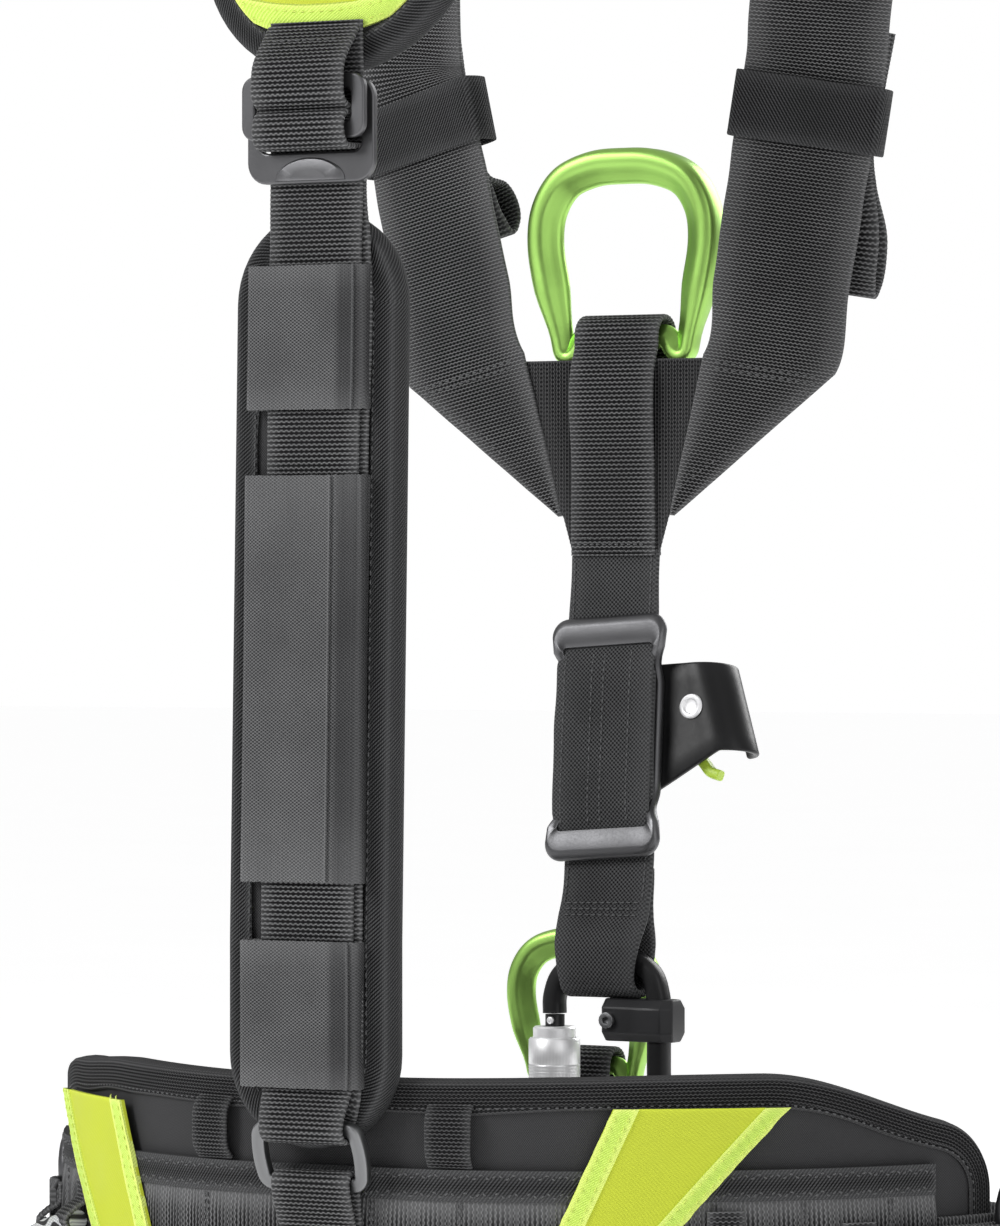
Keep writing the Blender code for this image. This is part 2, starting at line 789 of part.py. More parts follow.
def strap_place(side, z):
    """Local axes on a strap's straight lower part. Out points away from the wearer."""
    t = (z - STRAP_LOW.z) / (STRAP_HIGH.z - STRAP_LOW.z)
    along = (STRAP_HIGH - STRAP_LOW).normalized()
    across = strap_across(z)
    across = (across - along * across.dot(along)).normalized()
    out = across.cross(along) * -1
    centre = STRAP_LOW.lerp(STRAP_HIGH, t)
    return Place(flip(centre, side), flip(across, side), flip(out, side), flip(along, side))


def strap_keeper(name, side):
    """An elastic band round the strap and its spare webbing."""
    place = strap_place(side, KEEPER_Z)
    half = STRAP_WIDTH / 2 + 1.6
    low = -STRAP_THICK / 2 - 1.3
    high = STRAP_THICK / 2 + 2 * (WEBBING_THICK + GAP) + 2.8
    wall = 1.4

    def ring(grow, c):
        corners = [(-1, low - grow), (1, low - grow), (1, high + grow), (-1, high + grow)]
        return [place.at(a * (half + grow), b, c) for a, b in corners]

    h = KEEPER_HEIGHT / 2
    rings = [ring(wall, -h), ring(wall, h), ring(0, h), ring(0, -h)]
    loft(name, rings, black_fabric(), True, place.centre)


def strap_tail(name, side, drop):
    """Spare webbing, folded back on itself, that hangs in front of the strap below its keeper."""
    near = STRAP_THICK / 2 + GAP + WEBBING_THICK / 2 + 1.2
    far = near + WEBBING_THICK + GAP
    top = 24.0
    shape = [(near, top), (near, 16), (near, -24), (near + 4, -drop + 26), (near + 8.0, -drop + 8)]
    shape += [(near + 13, -drop + 1.5), (near + 18, -drop + 6), (near + 17, -drop + 24)]
    shape += [(far + 3.0, -30), (far, -18), (far, 16), (far + 0.4, top)]
    place = strap_place(side, KEEPER_Z)
    line = [place.at(0, b, c) for b, c in shape]
    ribbon(name, line, place.across, WEBBING, WEBBING_THICK, charcoal_webbing())


def chest_backing():
    """Webbing that joins both straps at the Y junction and narrows to the chest strap."""
    levels = [(303, 22.0), (320, 25.0), (330, 27.5), (388, 43.6)]
    inner = [Vector((-half, CHEST_Y, z)) for z, half in levels]
    outer = [Vector((half, CHEST_Y, z)) for z, half in levels]
    edge_strip("chest_backing", inner, outer, WEBBING_THICK, black_fabric())


def shoulders():
    for name, side, drop in (("left", -1, 58.0), ("right", 1, 78.0)):
        shoulder_strap(f"shoulder_strap_{name}", side)
        strap_keeper(f"strap_keeper_{name}", side)
        strap_tail(f"strap_tail_{name}", side, drop)


# ---- chest: rings and strap ----
def ring_centre_line(bar, scale_x, scale_z):
    """Centre line of a harness ring: a low bar that arches between two rounded feet, and a tall bow."""
    half = [(0, 0), (15, 0), (24, -0.4), (30.6, -6.8), (35.5, -5.0), (37.6, 4.0), (40.4, 24)]
    half += [(42.6, 44), (40.4, 60), (31, 72.4), (16, 77.6), (0, 78.6)]
    left = [(-x, z) for x, z in reversed(half[1:-1])]
    flat = [(x, 0, z) for x, z in half + left]
    line = curve_through(flat, steps=3, closed=True)
    return [Vector(bar) + Vector((p.x * scale_x, 0, p.z * scale_z)) for p in line]


def harness_ring(name, bar, wire, scale=(1.0, 1.0)):
    section = bar_section(wire, wire * 0.94, wire * 0.34, 1)
    sweep(name, ring_centre_line(bar, *scale), section, (0, 1, 0), green_metal(), True, bar)


def sternal_loop():
    """Webbing over the sternal ring's bar, with both ends sewn on the chest backing."""
    side_gap = WEBBING_THICK + GAP
    back = CHEST_Y - side_gap
    front = CHEST_Y + side_gap
    bar_y, bar_z = STERNAL_RING_BAR[1:]
    turn = STERNAL_WIRE / 2 + RING_PLAY + WEBBING_THICK / 2
    shape = [(back, 303), (back, 340), (back, 389.5), (bar_y - turn, bar_z - 4)]
    shape += arc((bar_y, bar_z), turn, 180, 0, 8)
    shape += [(bar_y + turn - 1.0, 388), (front + 4.0, 364), (front, 345), (front, 303)]
    line = [(0, y, z) for y, z in shape]
    ribbon("sternal_loop", line, (1, 0, 0), WEBBING - 2.0, WEBBING_THICK, charcoal_webbing())


CHEST_STRAP_TOP = Vector((0, CHEST_Y, 299))
CHEST_STRAP_LOW = Vector((CARABINER_X, CARABINER_Y - 1.4, 142))
CHEST_STRAP_WAY = (CHEST_STRAP_TOP - CHEST_STRAP_LOW).normalized()


def chest_strap():
    """Covered webbing from the chest backing, with a loop at its low end for the carabiner."""
    second = Vector((0, CHEST_STRAP_THICK + GAP, 0))
    line = [CHEST_STRAP_TOP, CHEST_STRAP_TOP.lerp(CHEST_STRAP_LOW, 0.5), CHEST_STRAP_LOW]
    turn = 7.8
    low = [(-turn, 128)] + arc((0, 114.8), turn, 195, 345, 8) + [(turn, 128)]
    line += [Vector((CARABINER_X, CARABINER_Y + y, z)) for y, z in low]
    line.append(CHEST_STRAP_LOW + second + Vector((0, 1.2, 0)))
    line.append(CHEST_STRAP_LOW.lerp(CHEST_STRAP_TOP, 0.12) + second)
    widths = [WEBBING - 7.0 * (1 - ease((point.z - 118) / 16)) for point in line]
    ribbon("chest_strap", line, (1, 0, 0), widths, CHEST_STRAP_THICK, charcoal_webbing())


# ---- chest ascender ----
def ascender_place():
    t = (ASCENDER_MIDDLE_Z - CHEST_STRAP_LOW.z) / (CHEST_STRAP_TOP.z - CHEST_STRAP_LOW.z)
    centre = CHEST_STRAP_LOW.lerp(CHEST_STRAP_TOP, t)
    out = Vector((1, 0, 0)).cross(CHEST_STRAP_WAY)
    across = CHEST_STRAP_WAY.cross(out)
    return Place(centre, across, out, CHEST_STRAP_WAY)


FRAME_BAR = 14.0
FRAME_STEEL = 3.0
CAM_PIVOT = (41.0, 13.5)  # across and along, from the middle of the frame
CHANNEL_RADIUS = 12.0
RAIL_OUT = -CHEST_STRAP_THICK / 2 - GAP - FRAME_STEEL / 2
BODY_OUT = RAIL_OUT - FRAME_STEEL - GAP
CHANNEL_CENTRE = (53.0, BODY_OUT - CHANNEL_RADIUS)  # across and out


def rail_outline(half, tall, corner):
    """A rounded rectangle, as (across, along), with points along its two rails where the frame bends."""
    points = []
    for sx, start in ((1, 0), (-1, 180)):
        points += [(sx * half, sx * c) for c in (-38.0, -30.0, -20.0, 0.0, 20.0, 30.0, 38.0)]
        points += arc((sx * (half - corner), sx * (tall - corner)), corner, start, start + 90, 3)
        points.append((0.0, sx * tall))
        points += arc((-sx * (half - corner), sx * (tall - corner)), corner, start + 90, start + 180, 3)
    return points


def ascender_frame():
    """A steel frame whose end bars lie on one side of the strap and whose rails pass to the other side."""
    place = ascender_place()
    bar_out = CHEST_STRAP_THICK / 2 + GAP + FRAME_STEEL / 2

    def bend(c):
        inward = ease((ASCENDER_HEIGHT / 2 - FRAME_BAR - abs(c)) / 18.0)
        return bar_out + (RAIL_OUT - bar_out) * inward

    tall = ASCENDER_HEIGHT / 2
    outer = rail_outline(ASCENDER_WIDTH / 2, tall, 8.0)
    inner = rail_outline(WEBBING / 2 + 1.2, tall - FRAME_BAR, 2.5)
    rings = []
    for outline, shift in ((outer, 0.5), (outer, -0.5), (inner, -0.5), (inner, 0.5)):
        rings.append([place.at(a, bend(c) + shift * FRAME_STEEL, c) for a, c in outline])
    loft("ascender_frame", rings, satin_dark_metal(), True)


def ascender_body():
    """A folded plate behind the strap, whose far edge turns into the rope channel."""
    place = ascender_place()
    shape = [(-18.0, BODY_OUT), (10, BODY_OUT), (24, BODY_OUT), (34, BODY_OUT), (44, BODY_OUT)]
    shape += arc(CHANNEL_CENTRE, CHANNEL_RADIUS, 90, -70, 10)[1:]
    rings = []
    flat = [Vector((a, b, 0)) for a, b in shape]
    for point, along in zip(flat, tangents(flat)):
        reach = ease((point.x - 26) / 36)
        high = 24.0 + 10.0 * ease((point.x + 18) / 30)
        low = -31.0 + 24.0 * reach
        normal = Vector((-along.y, along.x, 0)) * (FRAME_STEEL / 2)
        front = point + normal
        back = point - normal
        corners = [(front, low), (front, high), (back, high), (back, low)]
        rings.append([place.at(p.x, p.y, c) for p, c in corners])
    item = loft("ascender_body", rings, black_metal())
    pivot = place.at(CAM_PIVOT[0], BODY_OUT, CAM_PIVOT[1])
    bore = cylinder("axle_bore", pivot, place.out, 3.4, 20.0, black_metal(), 16)
    boolean(item, bore, "DIFFERENCE")


def ascender_axle():
    """The cam's axle, with a head on the strap side."""
    place = ascender_place()
    head = [(0.0, 5.4), (1.4, 5.0)]
    face = BODY_OUT + FRAME_STEEL / 2 + 0.3
    tail = BODY_OUT - 19.0

    def ring(radius, out):
        points = []
        for k in range(16):
            turn = 2 * math.pi * k / 16
            across = CAM_PIVOT[0] + radius * math.cos(turn)
            along = CAM_PIVOT[1] + radius * math.sin(turn)
            points.append(place.at(across, out, along))
        return points

    rings = [ring(3.0, tail), ring(3.0, face)] + [ring(radius, face + out) for out, radius in head]
    loft("ascender_axle", rings, silver_metal())


def cam_outline():
    """A cam about its pivot, as (across, along): round at the pivot, with a toothed nose to the channel."""
    points = arc((0, 0), 7.5, 110, 250, 6)
    points += [(2.0, -9.0), (8.0, -9.5)]
    for k in range(6):
        angle = math.radians(-34 + k * 9)
        points.append((12.6 * math.cos(angle), 12.6 * math.sin(angle)))
        angle = math.radians(-34 + k * 9 + 6)
        points.append((13.9 * math.cos(angle), 13.9 * math.sin(angle)))
    points += [(9.0, 9.0), (2.0, 8.4)]
    return points


CAM_OUT = (BODY_OUT - 5.0, BODY_OUT - 16.0)


def ascender_cam():
    place = ascender_place()
    outline = cam_outline()
    rings = []
    for out in CAM_OUT:
        rings.append([place.at(CAM_PIVOT[0] + a, out, CAM_PIVOT[1] + c) for a, c in outline])
    pivot = place.at(CAM_PIVOT[0], BODY_OUT, CAM_PIVOT[1])
    item = loft("ascender_cam", rings, silver_metal(), False, pivot)
    bore = cylinder("cam_bore", pivot, place.out, 3.3, 60.0, silver_metal(), 16)
    boolean(item, bore, "DIFFERENCE")


CATCH_PIVOT = (34.0, -8.0)


def ascender_catch():
    """A safety catch below the cam, with a thumb tab that shows under the channel."""
    place = ascender_place()
    outline = [(0, 4), (-4, 1), (-3, -5), (4, -9), (14, -11), (21, -12.5), (22, -8.5), (14, -5.5), (6, 1)]
    rings = []
    for out in (CAM_OUT[0] - 1.0, CAM_OUT[1] + 1.0):
        rings.append([place.at(CATCH_PIVOT[0] + a, out, CATCH_PIVOT[1] + c) for a, c in outline])
    pivot = place.at(CATCH_PIVOT[0], BODY_OUT, CATCH_PIVOT[1])
    loft("ascender_catch", rings, green_plastic(), False, pivot)


# ---- carabiner ----
def at_carabiner(x, y, z):
    return Vector((CARABINER_X + x, CARABINER_Y + y, z))


GATE_X = -26.0
GATE_LOW = 45.0
GATE_HIGH = 96.8
GATE_PIVOT = at_carabiner(GATE_X, 0, 48.0)
SPINE_X = 27.5


def carabiner_body():
    """The open C of the carabiner, from its nose over the top and down the spine to the gate's hinge."""
    path = [(-25.8, 97.4), (-25.6, 105), (-22, 114), (-13, 120.4), (0, 122.6), (14, 121.6), (23.4, 116)]
    path += [(27, 107), (SPINE_X, 99), (SPINE_X, 74), (SPINE_X, 47), (23.5, 33), (12, 25), (0, 23)]
    path += [(-12, 24.5), (-22, 31), (GATE_X, 41.4)]
    line = curve_through([at_carabiner(x, 0, z) for x, z in path], steps=3)
    section = bar_section(CARABINER_WIRE, CARABINER_WIRE, 3.2, 1)
    sweep("carabiner_body", line, section, (0, 1, 0), black_metal())


def gate_parts():
    axis = (0, 0, 1)
    length = GATE_HIGH - GATE_LOW
    middle = at_carabiner(GATE_X, 0, (GATE_HIGH + GATE_LOW) / 2)
    gate = cylinder("carabiner_gate", middle, axis, 4.4, length, black_metal(), 16, 0.0, GATE_PIVOT)
    rivet_at = at_carabiner(GATE_X, 0, 94.2)
    boolean(gate, cylinder("rivet_bore", rivet_at, (0, 1, 0), 2.0, 20, black_metal(), 12), "DIFFERENCE")
    cylinder("gate_rivet", rivet_at, (0, 1, 0), 1.7, 9.6, silver_metal(), 12)
    collar = at_carabiner(GATE_X, 0, 76.0)
    cylinder("gate_collar", collar, axis, 9.6, 31.0, silver_metal(), 20, 4.9, collar)
    grip = at_carabiner(GATE_X, 0, 65.5)
    cylinder("gate_grip", grip, axis, 11.6, 31.0, silver_metal(), 20, 10.0, grip)


CLIP_Z = (86.0, 105.0)
CLIP_SCREW = (6.0, 95.5)


def carabiner_clip():
    """A faceted plastic block clamped round the spine."""
    outline = [(1, -5), (3, -8), (17, -8.5), (22, -10), (33, -10), (37.5, -6), (37.5, 6), (33, 10)]
    outline += [(22, 10), (17, 8.5), (3, 8), (1, 5)]
    rings = []
    for z, inset in ((CLIP_Z[0], 1.6), (CLIP_Z[0] + 3, 0.0), (CLIP_Z[1] - 3, 0.0), (CLIP_Z[1], 1.6)):
        scale_x = 1 - inset / 19
        scale_y = 1 - inset / 10
        rings.append([at_carabiner(19 + (x - 19) * scale_x, y * scale_y, z) for x, y in outline])
    item = loft("carabiner_clip", rings, black_plastic())
    spine = at_carabiner(SPINE_X, 0, 95)
    boolean(item, cylinder("spine_bore", spine, (0, 0, 1), 6.0, 60, black_plastic(), 20), "DIFFERENCE")
    screw = at_carabiner(CLIP_SCREW[0], 0, CLIP_SCREW[1])
    boolean(item, cylinder("screw_bore", screw, (0, 1, 0), 2.3, 60, black_plastic(), 16), "DIFFERENCE")


def clip_screw():
    """A socket screw through the clip, with its head towards the wearer."""
    x, z = CLIP_SCREW
    stations = [(8.0, 2.0), (-8.9, 2.0), (-8.9, 3.6), (-11.0, 3.6)]
    rings = []
    for y, radius in stations:
        turns = [2 * math.pi * k / 16 for k in range(16)]
        rings.append([at_carabiner(x + radius * math.cos(t), y, z + radius * math.sin(t)) for t in turns])
    item = loft("clip_screw", rings, silver_metal())
    socket = cylinder("socket", at_carabiner(x, -11.0, z), (0, 1, 0), 1.8, 3.2, silver_metal(), 6)
    boolean(item, socket, "DIFFERENCE")


def carabiner():
    carabiner_body()
    gate_parts()
    carabiner_clip()
    clip_screw()


# ---- front of the waist ----
def ventral_tab():
    """Webbing over the ventral ring's bar, sewn on the front of the waist webbing."""
    ring_x, bar_y, bar_z = VENTRAL_RING_BAR
    turn = VENTRAL_WIRE / 2 + RING_PLAY + WEBBING_THICK / 2
    shape = [(87.4, -45), (87.4, -12), (92, 0), (103.5, 12), (110, 34), (bar_y - turn - 0.6, 56)]
    shape += arc((bar_y, bar_z), turn, 180, 0, 8)
    shape += [(bar_y + turn - 1, 50), (120, 26), (108, 2), (93.5, -14), (90.2, -24), (90.2, -45)]
    line = [(ring_x, y, z) for y, z in shape]
    ribbon("ventral_tab", line, (1, 0, 0), 34.0, WEBBING_THICK, charcoal_webbing())


def bridge_loop():
    """A closed webbing loop that ties the carabiner's low end to the waist webbing."""
    front = BELT_FRONT_Y
    shape = [(front - 1.2, -22), (front - 1.2, 0), (front - 1.2, 20), (83.4, 33), (90, 40.6), (99, 39.4)]
    shape += [(105.2, 31), (105.2, 15), (98, 0), (90.5, -14), (88.2, -24), (84.4, -27.6)]
    line = [(CARABINER_X + 5.5, y, z) for y, z in shape]
    ribbon("bridge_loop", line, (1, 0, 0), 19.0, 2.0, charcoal_webbing(), True)


WAIST_OFF = GAP + WEBBING_THICK / 2
WAIST_START = BAND_END + 2.0
WAIST_BUCKLE_X = 76.0
BELT_FRONT_Y = FRONT_PLAN[-1][1]


def waist_buckle_length():
    s = PAD_END
    while belt_point(s, 0, 0).x > WAIST_BUCKLE_X or belt_point(s, 0, 0).y < 0:
        s += 0.5
    return s


def waist_place():
    s = waist_buckle_length()
    along = belt_along(s)
    out = Vector((along.y, -along.x, 0))
    return Place(belt_point(s, 0, WAIST_OFF + 3.6), (0, 0, 1), out, along)


def waist_webbing_left():
    """From the left wing across the front to the buckle, where it folds round both top bars."""
    place = waist_place()
    s_end = waist_buckle_length() + 56.0 - BELT_LENGTH
    line = [belt_point(s, 0, WAIST_OFF) for s in span(-WAIST_START, s_end, 12.0)]
    line += [place.at(0, b, c) for b, c in fold_round_top_bars()]
    ribbon("waist_webbing_left", line, (0, 0, 1), WEBBING, WEBBING_THICK, charcoal_webbing())


def waist_webbing_right():
    """From the right wing to the buckle, round the slide's bar, and back as a free tail."""
    place = waist_place()
    s_end = waist_buckle_length() - 60.0
    line = [belt_point(s, 0, WAIST_OFF) for s in span(WAIST_START, s_end, 12.0)]
    line += [place.at(0, b, c) for b, c in roll_round_slide_bar()]
    line.append(place.at(0, -3.4, -38.0))
    ribbon("waist_webbing_right", line, (0, 0, 1), WEBBING, WEBBING_THICK, charcoal_webbing())


def waist_front():
    ventral_tab()
    bridge_loop()
    waist_webbing_left()
    waist_webbing_right()
    buckle_frame("waist_buckle_frame", waist_place())
    buckle_slide("waist_buckle_slide", waist_place())


# ---- leg loops ----
def leg_point(side, angle, radius, rise=0.0):
    """A point on a leg loop. The angle starts at the front and turns outwards over the hip."""
    turn = math.radians(angle)
    x = LEG_X + radius * math.sin(turn)
    y = LEG_Y + radius * math.cos(turn)
    return Vector((side * x, y, LEG_Z + LEG_TILT * (y - LEG_Y) + rise))


def leg_pad(name, side):
    rings = []
    angles = span(60.0, 300.0, 10.0)
    for angle in angles:
        edge = min(angle - 60.0, 300.0 - angle)
        half = LEG_PAD_HEIGHT / 2 * (0.72 + 0.28 * ease(edge / 24.0))
        section = bar_section(LEG_PAD_THICK, 2 * half, LEG_PAD_THICK / 3)
        rings.append([leg_point(side, angle, LEG_RADIUS + x, z) for x, z in section])
    loft(name, rings, black_fabric())


def leg_webbing(name, side):
    radius = LEG_RADIUS + LEG_PAD_THICK / 2 + 3 * GAP + WEBBING_THICK / 2
    line = [leg_point(side, angle, radius) for angle in span(0.0, 350.0, 10.0)]
    ribbon(name, line, (0, 0, 1), WEBBING, WEBBING_THICK, charcoal_webbing(), True)


LEG_OUTSIDE = LEG_RADIUS + LEG_PAD_THICK / 2 + 6 * GAP + 1.5 * WEBBING_THICK


def leg_hanger(name, side):
    """A narrow strap that carries the back of the leg loop from the belt."""
    s = belt_length_at(104.0)
    rear = leg_point(side, 182.0, LEG_OUTSIDE)
    line = [belt_point(side * s, z, GAP + 1.2) for z in (-36.0, -56.0, -76.0)]
    line += [rear + Vector((0, -4, 78)), rear + Vector((0, -0.6, 36)), rear + Vector((0, -0.7, 14)), rear]
    ways = [belt_along(side * s)] * 3 + [Vector((1, -0.1 * side, 0))] + [Vector((1, 0, 0))] * 3
    ribbon(name, line, ways, 25.0, WEBBING_THICK, charcoal_webbing())


def leg_bridge():
    """One webbing strap between the fronts of both leg loops, which passes under the ventral tab."""
    middle_x = VENTRAL_RING_BAR[0]
    ends = [leg_point(1, angle, LEG_OUTSIDE + 2.0) for angle in (-25.0, -17.0, -9.0)]
    middle = [(middle_x - 15, 93.6, -64), (middle_x + 15, 93.6, -64)]
    line = [flip(p, -1) for p in reversed(ends)] + [(-44, 103, -112)] + middle + [(36, 103, -112)] + ends
    slant = Vector((-1, 0, 0.6))
    across = [(0, 0, 1)] * 3 + [slant, (-0.15, 0, 1), (0.15, 0, 1), flip(slant, -1)] + [(0, 0, 1)] * 3
    path = curve_through(line, 3)
    ribbon("leg_bridge", path, curve_through(across, 3), 25.0, WEBBING_THICK, charcoal_webbing())


def legs():
    for name, side in (("left", -1), ("right", 1)):
        leg_pad(f"leg_pad_{name}", side)
        leg_webbing(f"leg_webbing_{name}", side)
        leg_hanger(f"leg_hanger_{name}", side)


def build():
    clear_scene()
    belt()
    back_strap()
    shoulders()
    chest_backing()
    sternal_loop()
    harness_ring("sternal_ring", STERNAL_RING_BAR, STERNAL_WIRE)
    harness_ring("ventral_ring", VENTRAL_RING_BAR, VENTRAL_WIRE, VENTRAL_SCALE)
    chest_strap()
    ascender_frame()
    ascender_body()
    ascender_axle()
    ascender_cam()
    ascender_catch()
    carabiner()
    waist_front()
    legs()
    leg_bridge()


build()
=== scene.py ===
"""Looks for the tree climbing saddle: woven straps, padded fabric, stitches and metal on the frame.

Sizes are millimetres from the centre of the waist belt, whose place is read from the frame. +Y is the
way the wearer faces, and +X is the wearer's right.
"""

import math
import random
from bisect import bisect_right

import bmesh
import bpy
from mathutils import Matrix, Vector, noise


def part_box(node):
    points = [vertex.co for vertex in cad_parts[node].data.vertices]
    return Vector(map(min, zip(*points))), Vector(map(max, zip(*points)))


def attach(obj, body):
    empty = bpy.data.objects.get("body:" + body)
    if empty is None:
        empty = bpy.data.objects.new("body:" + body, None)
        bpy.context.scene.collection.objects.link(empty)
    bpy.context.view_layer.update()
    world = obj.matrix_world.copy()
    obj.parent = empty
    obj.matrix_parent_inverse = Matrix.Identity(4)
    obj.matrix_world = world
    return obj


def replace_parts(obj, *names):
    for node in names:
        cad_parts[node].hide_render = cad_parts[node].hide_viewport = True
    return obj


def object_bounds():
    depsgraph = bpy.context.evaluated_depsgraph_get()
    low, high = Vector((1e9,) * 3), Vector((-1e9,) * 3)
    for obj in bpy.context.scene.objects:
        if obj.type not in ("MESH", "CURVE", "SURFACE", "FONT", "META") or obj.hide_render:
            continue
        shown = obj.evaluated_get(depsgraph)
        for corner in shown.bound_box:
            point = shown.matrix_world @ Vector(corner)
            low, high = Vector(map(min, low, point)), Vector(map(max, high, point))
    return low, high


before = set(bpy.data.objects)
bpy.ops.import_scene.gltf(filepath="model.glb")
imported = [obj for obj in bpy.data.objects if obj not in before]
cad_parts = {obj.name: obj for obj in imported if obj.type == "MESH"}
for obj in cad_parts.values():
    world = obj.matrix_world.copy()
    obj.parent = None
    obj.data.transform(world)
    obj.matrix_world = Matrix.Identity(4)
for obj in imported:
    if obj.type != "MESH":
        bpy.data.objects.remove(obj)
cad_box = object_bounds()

MM = 0.001
GAP = 0.4  # air between layers that lie on each other
CHOICE = random.Random(7)
SIDES = (("left", -1), ("right", 1))

# ---- sizes that repeat the frame's driving dimensions ----
BELT_PLAN = [(0, -125), (58, -122.5), (120, -96), (180, -47), (216, 5), (228, 36)]
FRONT_PLAN = [(231, 56), (219, 78), (186, 88), (120, 88), (50, 84), (0, 82)]
PAD_THICK = 14.0
PAD_TOP_MIDDLE = 82.0
PAD_TOP_END = 60.0
PAD_BOTTOM_MIDDLE = -80.0
PAD_BOTTOM_END = -42.0
PAD_CORNER = 26.0
PAD_END = 300.5
BAND_TOP = 45.0
BAND_BOTTOM = -25.0
BAND_END = 268.0
BAND_OUT = 3.4  # outer face of the band, off the pad
WEBBING = 45.0
WEBBING_THICK = 2.4
CHEST_Y = 122.0
FRAME_MIDDLE = 479.0  # height of the back buckle

# The frame's own origin is on the floor: this is the belt's centre in it.
band_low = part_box("belt_band")[0]
BELT_CENTRE = Vector((0, band_low.y / MM - BELT_PLAN[0][1] + BAND_OUT, band_low.z / MM - BAND_BOTTOM))


# ---- lines ----
def ease(t):
    t = min(1.0, max(0.0, t))
    return t * t * (3 - 2 * t)


def span(start, end, step):
    count = max(1, math.ceil(abs(end - start) / step))
    return [start + (end - start) * k / count for k in range(count + 1)]


def flip(point, side):
    return Vector((point[0] * side, point[1], point[2]))


def arc(centre, radius, start, end, steps):
    """Points (a, b) on an arc, angles in degrees."""
    points = []
    for k in range(steps + 1):
        angle = math.radians(start + (end - start) * k / steps)
        points.append((centre[0] + radius * math.cos(angle), centre[1] + radius * math.sin(angle)))
    return points


def curve_through(points, steps=6, closed=False):
    """A Catmull-Rom curve, the one that the frame's shapes are drawn with."""
    knots = [Vector(p) for p in points]
    count = len(knots)
    line = []
    for i in range(count if closed else count - 1):
        if closed:
            a, b, c, d = (knots[(i + k) % count] for k in (-1, 0, 1, 2))
        else:
            b, c = knots[i], knots[i + 1]
            a = knots[i - 1] if i > 0 else b * 2 - c
            d = knots[i + 2] if i + 2 < count else c * 2 - b
        for k in range(steps):
            t = k / steps
            square = (a * 2 - b * 5 + c * 4 - d) * (t * t / 2)
            cube = (b * 3 - a - c * 3 + d) * (t * t * t / 2)
            line.append(b + (c - a) * (t / 2) + square + cube)
    if not closed:
        line.append(knots[-1].copy())
    return line


def tangents(line, closed=False):
    last = len(line) - 1
    result = []
    for i in range(len(line)):
        before = line[i - 1] if (i > 0 or closed) else line[i]
        after = line[(i + 1) % len(line)] if (i < last or closed) else line[i]
        result.append((after - before).normalized())
    return result


def corner_tangents(points, closed):
    """Unit tangents at uneven points, so that a short step next to a long one doesn't overshoot."""
    count = len(points)
    result = []
    for i in range(count):
        before = points[i] - points[i - 1] if (i > 0 or closed) else points[1] - points[0]
        after = points[(i + 1) % count] - points[i] if (i < count - 1 or closed) else before
        way = before.normalized() / before.length + after.normalized() / after.length
        result.append(way.normalized())
    return result


def smooth_line(points, spacing, closed=False, extras=()):
    """A fine smooth line through uneven points. Each extra list is carried along it."""
    points = [Vector(p) for p in points]
    ways = corner_tangents(points, closed)
    count = len(points)
    line = []
    carried = [[] for _ in extras]
    for i in range(count if closed else count - 1):
        j = (i + 1) % count
        a, b = points[i], points[j]
        length = (b - a).length
        steps = max(1, math.ceil(length / spacing))
        for k in range(steps + (0 if closed or j < count - 1 else 1)):
            t = k / steps
            cubic = 2 * t**3 - 3 * t**2 + 1
            place = a * cubic + b * (1 - cubic)
            place += ways[i] * (length * (t**3 - 2 * t**2 + t)) + ways[j] * (length * (t**3 - t**2))
            line.append(place)
            for values, extra in zip(carried, extras):
                values.append(extra[i] * (1 - t) + extra[j] * t)
    return (line, *carried)


def lengths_along(line, closed=False):
    """The length up to each point, and up to the first point again when closed."""
    total = 0.0
    result = [0.0]
    for i in range(1, len(line) + (1 if closed else 0)):
        total += (line[i % len(line)] - line[i - 1]).length
        result.append(total)
    return result


def step_at(marks, length, count):
    """Which of a line's steps holds a length."""
    return min(max(bisect_right(marks, length) - 1, 0), count - 1)


def circle(centre, across, up, radius, steps):
    turns = [2 * math.pi * k / steps for k in range(steps)]
    return [centre + across * (radius * math.cos(t)) + up * (radius * math.sin(t)) for t in turns]


def outwards(point):
    """The way level and away from the belt's middle."""
    return Vector((point.x, point.y, 0))


def rounded_section(width, height, corner, steps=3, flat_steps=1):
    """A rounded rectangle as (x, y) pairs. Its long sides may carry extra points."""
    section = []
    for sx, sy, start in ((1, 1, 0), (-1, 1, 90), (-1, -1, 180), (1, -1, 270)):
        centre = (sx * (width / 2 - corner), sy * (height / 2 - corner))
        section += arc(centre, corner, start, start + 90, steps)
        if sx == sy:  # the long side that follows this corner
            for k in range(1, flat_steps):
                reach = (width / 2 - corner) * (1 - 2 * k / flat_steps)
                section.append((sx * reach, sy * height / 2))
    return section


# ---- pieces ----
def new_piece(name, vertices, faces, look, body, corners=None, sharp=40.0):
    """Makes a piece from millimetre vertices. Its corners' places on the cloth become a UV map."""
    mesh = bpy.data.meshes.new(name)
    mesh.from_pydata([(Vector(v) + BELT_CENTRE) * MM for v in vertices], [], faces)
    if corners:
        layer = mesh.uv_layers.new(name="cloth")
        for item, corner in zip(layer.data, corners):
            item.uv = (corner[0] * MM, corner[1] * MM)
    shape = bmesh.new()
    shape.from_mesh(mesh)
    bmesh.ops.recalc_face_normals(shape, faces=shape.faces)
    shape.to_mesh(mesh)
    shape.free()
    mesh.shade_smooth()
    mesh.set_sharp_from_angle(angle=math.radians(sharp))
    mesh.materials.append(look)
    piece = bpy.data.objects.new(name, mesh)
    bpy.context.scene.collection.objects.link(piece)
    if body:
        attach(piece, body)
        SLOTS.get(look.name, "charcoal_webbing")
    return piece


